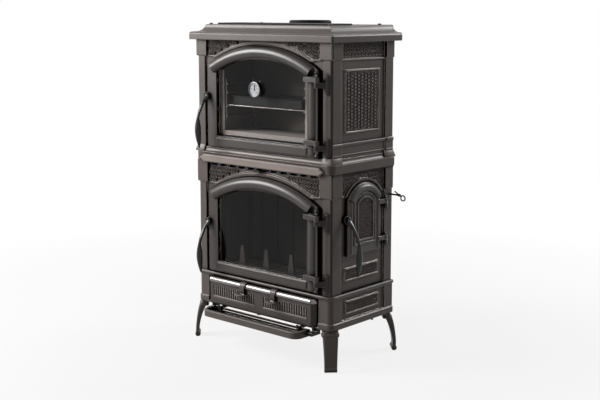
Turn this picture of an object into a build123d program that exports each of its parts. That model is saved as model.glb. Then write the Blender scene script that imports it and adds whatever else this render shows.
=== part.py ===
"""A free-standing cast-iron wood cookstove: firebox below, glazed oven above.

Everything is written about the centre line of the body: X runs to the right, Y to the
back and Z up from the floor, in millimetres. At the end the whole stove is moved so that
the origin lies under the middle of its box.
"""
from build123d import *
import os
from math import atan2, cos, degrees, hypot, radians, sqrt

os.makedirs("parts", exist_ok=True)

# ------------------------------------------------------------------ driving sizes
# Body, over the corner posts
BODY_W = 702.0
BODY_D = 370.0
LEG_H = 150.0
BASE_H = 125.0
MANTEL_H = 55.0
CORNICE_H = 60.0

# Both front doors are the same casting
DOOR_H = 408.0
FIRE_SILL = 14.0          # from the top of the base to the fire door
OVEN_SILL = 3.0           # from the mantel to the oven door
HEAD_OVER_FIRE_DOOR = 43.0
HEAD_OVER_OVEN_DOOR = 18.0

# Walls and fits
WALL = 10.0               # cast panels
SHEET = 2.0               # stainless and pan sheet
FIT = 0.5                 # between castings that stand side by side
RUN = 0.05                # a pin in its eye, on the radius
GAP = 3.0                 # between pieces that move past each other

# Corner posts
POST_FACE = 40.0          # width of a post seen from the front
SIDE_POST_FRONT = 58.0    # width of the front post seen from the side
SIDE_POST_REAR = 46.0
SIDE_T = 20.0             # a post's thickness in a side casting
SKIN = 6.0                # front casting where it laps over the side casting
POST_ROUND = 5.0          # arris of the near posts, less than the skin
CORNER_NICK = 2.0         # the front casting stops this short of the corner
BLOCK_OUT = 5.0           # how proud the blocks at the friezes stand
BLOCK_IN = 12.0           # how much wider a block is than its post
PANEL_IN = 8.0            # panels lie this deep behind the posts

# Arched front: heights above a door's own bottom edge
DOOR_STILE = 50.0
DOOR_EDGE_GAP = 21.0      # between a door and the posts
DOOR_T = 12.0
DOOR_BACK_GAP = 8.0       # between a door and the panel behind it
DOOR_RAIL = 45.0          # bottom rail
OPENING_SPRING = DOOR_H - 102.0
OPENING_CROWN = DOOR_H - 51.0
DOOR_SPRING = DOOR_H - 82.0
RECESS_SPRING = DOOR_H - 89.0
RECESS_CROWN = DOOR_H + 5.0
BEAD_LEVEL = DOOR_H - 47.0
RIDGE_CROWN = DOOR_H + 16.0
RIDGE_OUT = 10.0
RECESS_IN = 5.0
ROLL_R = 23.0             # half width of the big arch moulding
ROLL_OUT = 17.0           # how far it stands out
LIP = 9.0                 # glass lap behind the frame
GLASS_T = 4.0
CLIP_IN = 40.0            # clips from the ends of the opening's straight sides
CLIP_L = 14.0
CLIP_SCREW = 4.5

# Mouldings
BEAD_R = 4.5
MANTEL_OUT = 10.5
MANTEL_FASCIA = 35.0
BASE_OUT = 4.0
BASE_BEAD_OUT = 10.0
BASE_BEAD_H = 9.0         # the bead stands above the base's top face
BASE_FOOT_OUT = 8.0
BASE_FOOT_H = 28.0
CORNICE_OUT = 26.0
CORNICE_FASCIA = 22.0
CORNICE_TOP_IN = 28.0
CORNER_R = 16.0           # upright corners of base and mantel
CORNICE_CORNER_R = 8.0
TOP_PLATE_T = 8.0

# Hob plate and flue
HOB_HALF_W = 297.0
HOB_FRONT_MARGIN = 53.0
HOB_D = 140.0
HOB_RISE = 6.0
HOB_RIM = 12.0
FLUE_R = 75.0
FLUE_WALL = 5.0
FLUE_FLANGE = 9.0
FLUE_RISE = 16.0
FLUE_BACK = 84.0          # flue centre to the back of the body
FLUE_LENGTH = 50.0

# Legs
LEG_TOP_W = 62.0
LEG_FOOT_W = 48.0
LEG_INSET = 14.0          # leg's centre inside the body's corner, both ways
LEG_SPLAY = 23.0          # the foot stands this far out along the diagonal
FOOT_R = 11.0
FOOT_FLAT = 0.8
LEG_BOLT_R = 5.0
LEG_BOLT_L = 30.0

# Hinges of the front doors
HINGE_OUT = 27.0          # axis in front of the posts' faces
HINGE_IN = 7.0            # axis inside the posts' inner edges
ROD_R = 4.0
EYE_R = 11.0
STRAP_H = 17.0
STRAP_T = 9.0
STRAP_L = 62.0
LUG_H = 20.0
BOSS_R = 11.0             # half round boss of a lug on the post
BOSS_H = 70.0
BOSS_IN = 25.0            # boss centre from the post's inner edge
NUT_H = 8.0
UPPER_HINGE = DOOR_H - 117.0   # strap centres above the door's bottom edge
LOWER_HINGE = 60.0
FINIAL_R = 5.5

# Handles
HUB_R = 13.0
HUB_OUT = 14.0
HANDLE_REACH = 59.0       # the grip's centre line in front of the door
ARM_DROP = 88.0
GRIP_L = 120.0
GRIP_R = 14.0
NECK_R = 6.0
SPINDLE_R = 5.0
CAM_R = 13.0
CAM_T = 4.0
HANDLE_LEVEL = DOOR_H / 2 + 1  # hub above the door's bottom edge
HANDLE_IN = 5.0           # hub inside the door's free edge, on an ear
EAR_R = 15.0

# Thermometer on the oven glass
DIAL_R = 30.0
DIAL_X = -22.0
DIAL_T = 18.0
DIAL_LEVEL = DOOR_H - 168.0
DIAL_WELL = 4.0           # depth of the recess for the dial plate
DIAL_RIM = 3.0
DIAL_PLATE_T = 0.5
STEM_R = 4.0
NEEDLE_L = 20.0
NEEDLE_T = 0.8

# Side loading door
SIDE_CENTRE_Y = 8.0
SIDE_DOOR_HALF = 101.0
SIDE_DOOR_LOW = 146.0     # above the top of the base
SIDE_DOOR_SPRING = FIRE_SILL + DOOR_H - 60.0
SIDE_DOOR_CROWN = FIRE_SILL + DOOR_H - 3.0
SIDE_DOOR_T = 12.0
SIDE_RECESS = 10.0        # recess round the door
SIDE_SILL = 22.0
SIDE_HINGE_UP = SIDE_DOOR_SPRING - 28.0     # strap centres above the top of the base
SIDE_HINGE_LOW = 190.0
SIDE_HINGE_BEHIND = 22.0  # hinge axis behind the door's edge
SIDE_AXIS_OUT = 11.0      # hinge axis outside the posts' faces
SIDE_EYE_R = 8.0
SIDE_LEAF_IN = 8.0        # leaf inside the rear post's edge
SIDE_LEAF_W = 24.0
SIDE_LEAF_T = 4.0
SIDE_LEAF_OVER = 10.0     # leaf above and below its lug
SIDE_ARM_W = 20.0
SIDE_HANDLE_LEVEL = SIDE_DOOR_SPRING - 74.0
SIDE_HUB_OUT = 4.0        # hub outside the side door's edge, on an ear
SIDE_ROLL_R = 15.0
SIDE_ROLL_OUT = 12.0
SIDE_STILE_HALF = 8.0     # the flatter legs under the roll
SIDE_STILE_OUT = 5.0

# Panels with a raised frame on the sides
FRAME_CENTRE_Y = 2.0
FRAME_HALF = 103.0
FRAME_W = 6.0
FRAME_OUT = 4.0
UPPER_PANEL_LOW = 91.0    # above the mantel
UPPER_PANEL_H = DOOR_H - 171.0
LOWER_PANEL_LOW = 50.0    # above the base
LOWER_PANEL_H = 52.0
BASE_PANEL_LOW = 49.0     # above the base's foot
BASE_PANEL_H = 52.0
SKIRT_H = 53.0            # plain skirt of the upper sides, up to its bead

# Air slots over the fire door
SLOT_H = 12.0
SLOT_BELOW_TOP = 9.0
SLOT_BAR = 8.0
SLOT_PITCH = 51.0
SLOT_FIRST = 36.0
SLOTS_PER_SIDE = 5
AIR_SLIDE_T = 3.0
AIR_TAB_W = 54.0
AIR_TAB_OUT = 16.0

# Ash drawer
DRAWER_HALF = 284.0
DRAWER_LOW = 12.0         # above the bottom of the base
DRAWER_H = 92.0
DRAWER_OUT = 17.0         # front face before the base's face
RAIL_R = 12.0
DRAWER_BEVEL = 14.0
DRAWER_FRAME_IN = 25.0
DRAWER_FRAME_END = 32.0
PAN_HALF = 200.0
PAN_D = 285.0
PAN_H = 66.0
LEVER_X = 82.0
LEVER_W = 28.0
TONGUE_W = 66.0
TONGUE_OUT = 30.0
TONGUE_DROP = 28.0        # below the rail's centre
LEVER_T = 5.0

# Ash shelf
SHELF_SIDE = 93.0         # shelf's end inside the body's side
SHELF_D = 80.0
SHELF_RIM = 26.0
SHELF_RIM_W = 12.0
SHELF_FLOOR = 5.0
SHELF_CORNER = 34.0
SHELF_DROP = 30.0         # from the bottom of the base to the shelf's underside
SHELF_ROD_R = 4.0
BRACKET_IN = 46.0         # hooks inside the shelf's ends
BRACKET_W = 12.0
BRACKET_D = 20.0
EAR_L = 26.0
EAR_BACK = 22.0           # ear in front of the shelf's back edge
EAR_DEEP = 20.0           # ear behind the posts' front faces
EAR_LOW = 6.0             # ear above the shelf's underside
EAR_T = 12.0
HOOK_FOOT_D = 30.0        # foot of a hook behind the posts' front faces
HOOK_FOOT_T = 8.0
HOOK_PEG_L = 6.0
HOOK_PEG_UP = 8.0         # peg above the shelf's rim

# Mantel bar
BAR_HALF = 328.0
BAR_POINT = 22.0
BAR_H = 31.0
BAR_T = 10.0
BAR_BELOW = 5.0           # it hangs this far below the mantel

# Oven
OVEN_HALF = 213.0
OVEN_FLOOR = 71.0         # above the mantel
OVEN_H = DOOR_H - 124.0
OVEN_D = 288.0
FLANGE_W = 30.0
CAST_OPENING_HALF = 237.0
OVEN_OPENING_LOW = 52.0   # above the door's bottom edge
FIRE_OPENING_LOW = 40.0
RUNNER_R = 3.0
RUNNER_LEVELS = (60.0, 95.0, 150.0, 185.0)
RUNNER_NEAR = 14.0        # ladders from the oven's front
RUNNER_FAR = 18.0         # and from its back
RUNNER_BELOW = 14.0       # uprights below the lowest level
RUNNER_ABOVE = 16.0
RUNNER_LAP = 4.0          # level wires past the uprights
RACK_LEVEL = 95.0
RACK_WIRE_R = 2.5
RACK_BARS = 15
TRAY_H = 36.0
TRAY_MARGIN = 12.0

# Firebox
FIREBOX_HALF = 240.0
FIREBOX_FRONT = 22.0      # liners start behind the front casting
FIREBOX_D = 262.0
LINER_T = 14.0
LINER_H = DOOR_H - 98.0
HEARTH_T = 14.0
HEARTH_LEVEL = 22.0       # underside above the base's top face
HEARTH_RAIL_W = 26.0
HEARTH_RAIL_ROOT = 7.0    # it grows out of the base's wall
HEARTH_FOOT_L = 30.0
GRATE_HALF_W = 110.0
GRATE_HALF_D = 80.0
GRATE_BARS = 11
FINGER_PITCH = 131.0
FINGER_H = 76.0
FINGER_BASE = 34.0
FINGER_TIP = 12.0
RETAINER_T = 12.0
RETAINER_H = 20.0
BAFFLE_T = 12.0
BAFFLE_RISE = 30.0        # its front edge above its back edge
BAFFLE_START = 40.0       # behind the liners' front edges

# Bypass flap behind the back liner
BYPASS_LEVEL = DOOR_H - 54.0   # above the base
ROD_BACK = 18.0           # rod centre to the back of the body
BYPASS_ROD_R = 3.5
FLAP_HALF = 110.0
FLAP_H = 28.0             # from the rod's centre to its free edge
FLAP_T = 3.0
ROD_OUT = 50.0            # the rod's end outside the right side
LOOP_R = 10.0
LOOP_WIRE_R = 2.6
LOOP_TAIL = 26.0
LOOP_TILT = 30.0

# ------------------------------------------------------------------ worked out
HALF_W = BODY_W / 2
SHELF_HALF = HALF_W - SHELF_SIDE
BRACKET_X = SHELF_HALF - BRACKET_IN
HALF_D = BODY_D / 2
Z_BASE = LEG_H
Z_LOWER = Z_BASE + BASE_H
FIRE_Z = Z_LOWER + FIRE_SILL
Z_MANTEL = FIRE_Z + DOOR_H + HEAD_OVER_FIRE_DOOR
Z_UPPER = Z_MANTEL + MANTEL_H
OVEN_Z = Z_UPPER + OVEN_SILL
Z_CORNICE = OVEN_Z + DOOR_H + HEAD_OVER_OVEN_DOOR
Z_TOP = Z_CORNICE + CORNICE_H

POST_IN = HALF_W - POST_FACE                 # inner edge of a front post
FRONT = -HALF_D                              # posts' front faces
BACK = HALF_D
PANEL_FRONT = FRONT + PANEL_IN               # front panels' faces
RECESS_FACE = PANEL_FRONT + RECESS_IN
PANEL_BACK = FRONT + SIDE_T                  # back of the front castings
DOOR_HALF = POST_IN - DOOR_EDGE_GAP
OPENING_HALF = DOOR_HALF - DOOR_STILE
DOOR_BACK = RECESS_FACE - DOOR_BACK_GAP
DOOR_FACE = DOOR_BACK - DOOR_T
SIDE_IN = HALF_W - SIDE_T                    # inner faces of the side castings
SIDE_FACE = HALF_W - PANEL_IN                # side panels' faces
SIDE_START = FRONT + SKIN + FIT
HINGE_X = POST_IN - HINGE_IN
HINGE_Y = FRONT - HINGE_OUT
FLUE_Y = BACK - FLUE_BACK
LENGTHY = 2 * (BODY_W + BODY_D)              # longer than any cut needs to be


# ------------------------------------------------------------------ small helpers
def block(x0, x1, y0, y1, z0, z1):
    """A box between two corners."""
    size = Box(abs(x1 - x0), abs(y1 - y0), abs(z1 - z0))
    return Pos((x0 + x1) / 2, (y0 + y1) / 2, (z0 + z1) / 2) * size


def front_plane(y):
    """Local x is X, local y is Z, and extrusion goes towards the front."""
    return Plane(origin=(0, y, 0), x_dir=(1, 0, 0), z_dir=(0, -1, 0))


def side_plane(x):
    """Local x is Y, local y is Z, and extrusion goes to the right."""
    return Plane(origin=(x, 0, 0), x_dir=(0, 1, 0), z_dir=(1, 0, 0))


def left_too(shape):
    """A shape and its mirror image across the centre line."""
    return shape + mirror(shape, Plane.YZ)


def on_left(shape):
    return mirror(shape, Plane.YZ)


def upright(x, y, z, radius, height):
    """A round bar standing on z."""
    return Pos(x, y, z + height / 2) * Cylinder(radius, height)


def along_x(x0, x1, y, z, radius):
    turned = Rot(0, 90, 0) * Cylinder(radius, abs(x1 - x0))
    return Pos((x0 + x1) / 2, y, z) * turned


def along_y(x, y0, y1, z, radius):
    turned = Rot(90, 0, 0) * Cylinder(radius, abs(y1 - y0))
    return Pos(x, (y0 + y1) / 2, z) * turned


def arch(half, low, spring, crown, centre=0.0):
    """A sheet with straight sides and an arc on top, in local x and z."""
    start, end = (centre - half, spring), (centre + half, spring)
    sides = Polyline(start, (centre - half, low), (centre + half, low), end)
    return make_face(sides + ThreePointArc(end, (centre, crown), start))


def arc_radius(half, rise):
    return (half * half + rise * rise) / (2 * rise)


def arch_roll(plane_y, half, spring, crown, radius, out):
    """A half round moulding bent along an arch, standing out from plane_y to the front."""
    bend = arc_radius(half, crown - spring)
    centre = Vector(0, plane_y, crown - bend)
    swing = degrees(atan2(half, bend - (crown - spring)))
    flat = Line((0, plane_y, crown - radius), (0, plane_y, crown + radius))
    crest = (0, plane_y - out, crown)
    round_side = ThreePointArc(flat @ 1, crest, flat @ 0)
    section = make_face(flat + round_side)
    about = Axis(centre, (0, 1, 0))
    return revolve(section.rotate(about, -swing), about, 2 * swing)


def profile(steps, inner):
    """A moulding's section in local x and z: inner is its back, steps lists (out, z) upwards.

    A step of two pairs is an arc through the first to the second.
    """
    here = steps[0]
    edges = [Line((inner, here[1]), here)]
    for step in steps[1:]:
        if isinstance(step[0], tuple):
            edges.append(ThreePointArc(here, step[0], step[1]))
            here = step[1]
        else:
            edges.append(Line(here, step))
            here = step
    edges.append(Line(here, (inner, here[1])))
    edges.append(Line((inner, here[1]), (inner, steps[0][1])))
    return make_face(edges), steps[0][1], here[1]


def swept_block(steps, back_out):
    """A block whose moulding runs round the two rounded front corners."""
    inner = -CORNER_R / 2
    section, low, high = profile(steps, inner)
    x, y, r = HALF_W, HALF_D, CORNER_R
    start, first, second = (-x, BACK + back_out), (-x, r - y), (r - x, -y)
    third, fourth, end = (x - r, -y), (x, r - y), (x, BACK + back_out)
    bend = r * (1 - sqrt(0.5))
    path = Line(start, first) + ThreePointArc(first, (bend - x, bend - y), second)
    path += Line(second, third)
    path += ThreePointArc(third, (x - bend, bend - y), fourth) + Line(fourth, end)
    stand = Plane(origin=(-x, BACK + back_out, 0), x_dir=(-1, 0, 0), z_dir=(0, 1, 0))
    ring = sweep(stand * section, path=path)
    core_x, core_y, core_r = x + inner, y + inner, r + inner
    middle = (BACK + back_out - core_y) / 2
    core = Rectangle(2 * core_x, BACK + back_out + core_y)
    core = fillet(core.vertices().group_by(Axis.Y)[0], core_r)
    return ring + Pos(0, middle, low) * extrude(core, amount=high - low)


def mitred_block(steps, back_out):
    """A block whose moulding is mitred at the front corners."""
    section, low, high = profile([shifted(step, HALF_W) for step in steps], 0)
    across = extrude(front_plane(0) * section, amount=LENGTHY, both=True)
    section, low, high = profile([shifted(step, HALF_D) for step in steps], 0)
    forward = extrude(side_plane(0) * section, amount=LENGTHY, both=True)
    forward = mirror(forward, Plane.XZ)
    forward += block(-LENGTHY, LENGTHY, 0, BACK + back_out, low, high)
    return left_too(across) & forward


def shifted(step, by):
    if isinstance(step[0], tuple):
        return tuple(shifted(pair, by) for pair in step)
    return (step[0] + by, step[1])


def inset_arch(half, low, spring, crown, inset, centre=0.0):
    """An arch drawn inside another one at an even distance."""
    bend = arc_radius(half, crown - spring)
    inner_bend, inner_half = bend - inset, half - inset
    inner_spring = crown - bend + sqrt(inner_bend ** 2 - inner_half ** 2)
    return arch(inner_half, low + inset, inner_spring, crown - inset, centre)


def raised_frame(x_face, y0, y1, z0, z1):
    """A rectangular raised bead on a right-hand side panel."""
    wide = (y1 - y0, z1 - z0)
    middle = ((y0 + y1) / 2, (z0 + z1) / 2)
    ring = Rectangle(*wide) - Rectangle(wide[0] - 2 * FRAME_W, wide[1] - 2 * FRAME_W)
    return extrude(side_plane(x_face) * Pos(*middle) * ring, amount=FRAME_OUT)


# ------------------------------------------------------------------ base and legs
def base_casting():
    top = Z_LOWER + BASE_BEAD_H
    foot_top = Z_BASE + BASE_FOOT_H
    middle = Z_LOWER + BASE_BEAD_H / 2 - 3
    steps = [
        (BASE_OUT, Z_BASE),
        (BASE_FOOT_OUT, Z_BASE + 3),
        (BASE_FOOT_OUT, foot_top - 4),
        (BASE_OUT, foot_top),
        (BASE_OUT, middle - 7),
        ((BASE_BEAD_OUT, middle), (BASE_OUT, top)),
    ]
    solid = swept_block(steps, BASE_OUT)
    inner_w, inner_d = SIDE_IN + 6, HALF_D - WALL - 4
    solid -= block(-inner_w, inner_w, -inner_d, inner_d, Z_BASE + 6, top)
    seat_w, seat_d = HALF_W + FIT, HALF_D + FIT
    solid -= block(-seat_w, seat_w, -seat_d, LENGTHY, Z_LOWER, top)
    mouth = DRAWER_HALF + 12
    mouth_low = Z_BASE + DRAWER_LOW - GAP
    solid -= block(-mouth, mouth, -LENGTHY, -HALF_D / 2, mouth_low, Z_LOWER - 7)
    y0, y1 = FRONT + SIDE_POST_FRONT, BACK - SIDE_POST_REAR
    pocket = block(HALF_W - 3, LENGTHY, y0, y1, foot_top + 3, Z_LOWER - 7)
    solid -= left_too(pocket)
    low = Z_BASE + BASE_PANEL_LOW
    bead = raised_frame(HALF_W - 3, FRAME_CENTRE_Y - FRAME_HALF, FRAME_CENTRE_Y + FRAME_HALF,
                        low, low + BASE_PANEL_H)
    return solid + left_too(bead) + left_too(hearth_rail())


def hearth_rail():
    """A ledge inside the base that carries one end of the hearth."""
    x1 = SIDE_IN - FIT
    x0 = x1 - HEARTH_RAIL_W
    y0, y1, low = LINER_Y, LINER_Y + FIREBOX_D, Z_LOWER - WALL
    shape = block(x0, x1, y0, y1, low, HEARTH_Z)
    return shape + block(x0, SIDE_IN + HEARTH_RAIL_ROOT, y0, y1, low, Z_LOWER)


def leg(sign_x, sign_y):
    """One cabriole leg: rounded oblongs lofted down a curve, then a rolled foot."""
    foot_z = FOOT_R - FOOT_FLAT
    # height share, out along the diagonal, thickness, width
    rows = [
        (1.00, -12.0, 34.0, LEG_TOP_W),
        (0.86, 2.0, 28.0, LEG_TOP_W - 3),
        (0.60, 15.0, 20.0, LEG_TOP_W - 8),
        (0.30, LEG_SPLAY, 15.0, LEG_FOOT_W + 2),
        (0.06, LEG_SPLAY, 13.0, LEG_FOOT_W),
    ]
    sections = []
    for share, out, thick, wide in rows:
        place = Plane(origin=(out, 0, share * LEG_H), x_dir=(1, 0, 0), z_dir=(0, 0, 1))
        sections.append(place * RectangleRounded(thick, wide, min(thick, wide) * 0.3))
    shape = loft(sections)
    roll = along_y(LEG_SPLAY, -LEG_FOOT_W / 2, LEG_FOOT_W / 2, foot_z, FOOT_R)
    shape += roll
    shape -= block(-LENGTHY, LENGTHY, -LENGTHY, LENGTHY, -2 * FOOT_R, 0)
    corner = ((HALF_W - LEG_INSET) * sign_x, (HALF_D - LEG_INSET) * sign_y, 0)
    turn = degrees(atan2(sign_y, sign_x))
    return Pos(*corner) * Rot(0, 0, turn) * Pos(LEG_INSET / sqrt(2.0), 0, 0) * shape


def leg_bolts():
    """A hexagon-headed bolt hanging behind each leg, under the base."""
    found = []
    for sign_x in (-1, 1):
        for sign_y in (-1, 1):
            x, y = (HALF_W - 52) * sign_x, (HALF_D - 52) * sign_y
            shank = upright(x, y, Z_BASE - LEG_BOLT_L, LEG_BOLT_R, LEG_BOLT_L)
            head = RegularPolygon(LEG_BOLT_R * 1.9, 6)
            nut = Pos(x, y, Z_BASE - LEG_BOLT_L * 0.6) * extrude(head, amount=LEG_BOLT_R * 1.4)
            found.append(shank + nut)
    return found


# ------------------------------------------------------------------ front castings
def front_casting(z0, z1, door_z, opening_low):
    """One front casting: two posts, an arched recess, a ridge and a frieze above it."""
    edge = HALF_W - CORNER_NICK
    inner = SIDE_IN - FIT
    shape = block(-inner, inner, PANEL_FRONT, PANEL_BACK, z0, z1)
    post = block(POST_IN, edge, FRONT, FRONT + SKIN, z0, z1)
    post += block(POST_IN, inner, FRONT, PANEL_BACK, z0, z1)
    front_edges = post.edges().filter_by(Axis.Z).group_by(Axis.Y)[0]
    post = fillet(front_edges.sort_by(Axis.X)[-1], POST_ROUND)
    post = chamfer(post.edges().filter_by(Axis.Z).group_by(Axis.Y)[0].sort_by(Axis.X)[0], 1.5)
    block_z = door_z + BEAD_LEVEL
    proud = block(POST_IN - BLOCK_IN, edge + BLOCK_OUT, FRONT - BLOCK_OUT, FRONT + SKIN, block_z, z1)
    proud = chamfer(proud.edges().group_by(Axis.Z)[0].group_by(Axis.Y)[0], BLOCK_OUT - 1)
    shape += left_too(post + proud)
    recess = arch(POST_IN, door_z - LENGTHY, door_z + RECESS_SPRING, door_z + RECESS_CROWN)
    shape -= extrude(front_plane(RECESS_FACE) * recess, amount=RECESS_IN)
    shape += arch_ridge(door_z, z1)
    for sign in (-1, 1):
        ends = sorted((sign * (POST_IN - 1), sign * (OPENING_HALF + 8)))
        level = door_z + BEAD_LEVEL
        shape += along_x(ends[0], ends[1], PANEL_FRONT - 1, level, BEAD_R)
    hole = arch(CAST_OPENING_HALF, door_z + opening_low, door_z + OPENING_SPRING + 2,
                door_z + OPENING_CROWN + 2)
    shape -= extrude(front_plane(PANEL_BACK + 1) * hole, amount=SIDE_T)
    return shape


def arch_ridge(door_z, z1):
    """The raised band over the door arch, with a sloping outer side."""
    spring = door_z + BEAD_LEVEL - 6
    outer = arch(OPENING_HALF + 22, spring, spring + 1, door_z + RIDGE_CROWN)
    inner = arch(POST_IN, door_z, door_z + RECESS_SPRING, door_z + RECESS_CROWN)
    band = outer - inner
    crest = extrude(front_plane(PANEL_FRONT) * band, amount=RIDGE_OUT - 2)
    skirt_outer = arch(OPENING_HALF + 30, spring, spring + 1, min(door_z + RIDGE_CROWN + 6, z1))
    skirt = extrude(front_plane(PANEL_FRONT) * (skirt_outer - inner), amount=RIDGE_OUT / 3)
    return crest + skirt


def slot_bars():
    """Left and right edges of the air slots over the fire door."""
    marks = [SLOT_FIRST + SLOT_PITCH * i for i in range(SLOTS_PER_SIDE)]
    bars = sorted([-m for m in marks] + marks)
    ends = [-marks[-1] - SLOT_PITCH] + bars + [marks[-1] + SLOT_PITCH]
    return [(a + SLOT_BAR / 2, b - SLOT_BAR / 2) for a, b in zip(ends, ends[1:])]


def lower_front():
    shape = front_casting(Z_LOWER, Z_MANTEL, FIRE_Z, FIRE_OPENING_LOW)
    top = Z_MANTEL - SLOT_BELOW_TOP
    for x0, x1 in slot_bars():
        shape -= block(x0, x1, FRONT - 20, PANEL_BACK + 1, top - SLOT_H, top)
    return shape


def upper_front():
    return front_casting(Z_UPPER, Z_CORNICE, OVEN_Z, OVEN_OPENING_LOW)


def upper_air_slide():
    """A flat bar that slides behind the slots, with its tab out through the middle slot."""
    top = Z_MANTEL - SLOT_BELOW_TOP
    reach = SLOT_FIRST + SLOT_PITCH * SLOTS_PER_SIDE
    y = PANEL_BACK + FIT
    bar = block(-reach, reach, y, y + AIR_SLIDE_T, top - SLOT_H - 4, top + 4)
    for x0, x1 in slot_bars():
        if x0 < 0 < x1:
            continue
        cut = (x1 - x0) * 0.55
        bar -= block(x0, x0 + cut, y - 1, y + AIR_SLIDE_T + 1, top - SLOT_H + 1, top - 1)
    middle = (2 * SLOT_FIRST - SLOT_BAR - AIR_TAB_W) / 2
    x0 = -AIR_TAB_W / 2 - middle / 2
    level = top - SLOT_H + 1.5
    tab = block(x0, x0 + AIR_TAB_W * 0.6, FRONT - AIR_TAB_OUT, y + 1, level, level + 5)
    return bar + tab


# ------------------------------------------------------------------ side castings
def side_wall(z0, z1):
    """Two posts and the panel between them, on the right."""
    y0, y1 = FRONT + SIDE_POST_FRONT, BACK - SIDE_POST_REAR
    shape = block(SIDE_IN, HALF_W, SIDE_START, y0, z0, z1)
    shape = fillet(shape.edges().filter_by(Axis.Z).group_by(Axis.X)[-1].group_by(Axis.Y)[0], POST_ROUND)
    shape += block(SIDE_IN, HALF_W, y1, BACK, z0, z1)
    return shape + block(SIDE_FACE - WALL, SIDE_FACE, y0, y1, z0, z1)


def side_blocks(z0, z1):
    """The prouder blocks of the two posts at a frieze."""
    y0, y1 = FRONT + SIDE_POST_FRONT, BACK - SIDE_POST_REAR
    near = block(HALF_W, HALF_W + BLOCK_OUT, SIDE_START, y0, z0, z1)
    far = block(HALF_W, HALF_W + BLOCK_OUT, y1, BACK, z0, z1)
    blocks = near + far
    outer_face = HALF_W + BLOCK_OUT
    low_edges = [e for e in blocks.edges().group_by(Axis.Z)[0] if abs(e.center().X - outer_face) < 0.1]
    return chamfer(low_edges, BLOCK_OUT - 1)


def side_bead(z, out):
    """A bead along a side panel between the posts."""
    y0, y1 = FRONT + SIDE_POST_FRONT, BACK - SIDE_POST_REAR
    return along_y(SIDE_FACE + out, y0, y1, z, BEAD_R)


def upper_side():
    bead_z = Z_UPPER + SKIRT_H
    frieze_z = OVEN_Z + BEAD_LEVEL
    shape = side_wall(Z_UPPER, Z_CORNICE)
    shape += side_blocks(frieze_z, Z_CORNICE)
    shape += side_bead(frieze_z, 2)
    y0, y1 = FRONT + SIDE_POST_FRONT, BACK - SIDE_POST_REAR
    shape += block(HALF_W, HALF_W + 3, SIDE_START, y0, Z_UPPER, bead_z)
    shape += block(HALF_W, HALF_W + 3, y1, BACK, Z_UPPER, bead_z)
    shape += block(SIDE_FACE - 1, SIDE_FACE + 5, y0, y1, Z_UPPER, bead_z)
    shape += along_y(HALF_W, SIDE_START, y0, bead_z, BEAD_R)
    shape += along_y(HALF_W, y1, BACK, bead_z, BEAD_R)
    shape += side_bead(bead_z, 5)
    low = Z_UPPER + UPPER_PANEL_LOW
    y0, y1 = FRAME_CENTRE_Y - FRAME_HALF, FRAME_CENTRE_Y + FRAME_HALF
    return shape + raised_frame(SIDE_FACE, y0, y1, low, low + UPPER_PANEL_H)


def lower_side_plain():
    """What both lower sides share."""
    frieze_z = FIRE_Z + BEAD_LEVEL
    shape = side_wall(Z_LOWER, Z_MANTEL)
    shape += side_blocks(frieze_z, Z_MANTEL)
    low = Z_LOWER + LOWER_PANEL_LOW
    y0, y1 = FRAME_CENTRE_Y - FRAME_HALF, FRAME_CENTRE_Y + FRAME_HALF
    return shape + raised_frame(SIDE_FACE, y0, y1, low, low + LOWER_PANEL_H)


def lower_side_right():
    """The right side: an arched hole for the loading door, with a bead over it."""
    frieze_z = FIRE_Z + BEAD_LEVEL
    shape = lower_side_plain()
    half = SIDE_DOOR_HALF + SIDE_RECESS
    low = Z_LOWER + SIDE_DOOR_LOW
    spring, crown = Z_LOWER + SIDE_DOOR_SPRING, Z_LOWER + SIDE_DOOR_CROWN
    outer = inset_arch(SIDE_DOOR_HALF, low, spring, crown, -SIDE_RECESS - 7, SIDE_CENTRE_Y)
    inner = inset_arch(SIDE_DOOR_HALF, low, spring, crown, -SIDE_RECESS, SIDE_CENTRE_Y)
    bend = arc_radius(half, crown - spring)
    above = Pos(SIDE_CENTRE_Y, frieze_z + bend) * Rectangle(LENGTHY, 2 * bend)
    shape += extrude(side_plane(SIDE_FACE) * ((outer - inner) & above), amount=PANEL_IN + 3)
    hole = inset_arch(SIDE_DOOR_HALF, low, spring, crown, SIDE_SILL, SIDE_CENTRE_Y)
    shape -= extrude(side_plane(SIDE_IN - 1) * hole, amount=SIDE_T)
    y0, y1 = FRONT + SIDE_POST_FRONT, BACK - SIDE_POST_REAR
    for start, end in ((y0, SIDE_CENTRE_Y - half), (SIDE_CENTRE_Y + half, y1)):
        shape += along_y(SIDE_FACE + 2, start, end, frieze_z, BEAD_R)
    bore = along_x(SIDE_IN - 5, HALF_W + 5, BACK - ROD_BACK, Z_LOWER + BYPASS_LEVEL, BYPASS_ROD_R + RUN)
    return shape - bore


def lower_side_left():
    """The left side has no door: a raised frame fills its panel."""
    shape = lower_side_plain()
    shape += side_bead(FIRE_Z + BEAD_LEVEL, 2)
    low = Z_LOWER + LOWER_PANEL_LOW + LOWER_PANEL_H + 22
    y0, y1 = FRAME_CENTRE_Y - FRAME_HALF, FRAME_CENTRE_Y + FRAME_HALF
    shape += raised_frame(SIDE_FACE, y0, y1, low, FIRE_Z + BEAD_LEVEL - 24)
    return on_left(shape)


def back_panel(z0, z1):
    half = SIDE_IN - FIT
    shape = block(-half, half, BACK - WALL - 2, BACK - 2, z0, z1)
    for share in (-0.5, 0.0, 0.5):
        x = share * half
        shape += block(x - 6, x + 6, BACK - 3, BACK + 2, z0 + 25, z1 - 25)
    return shape


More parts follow.
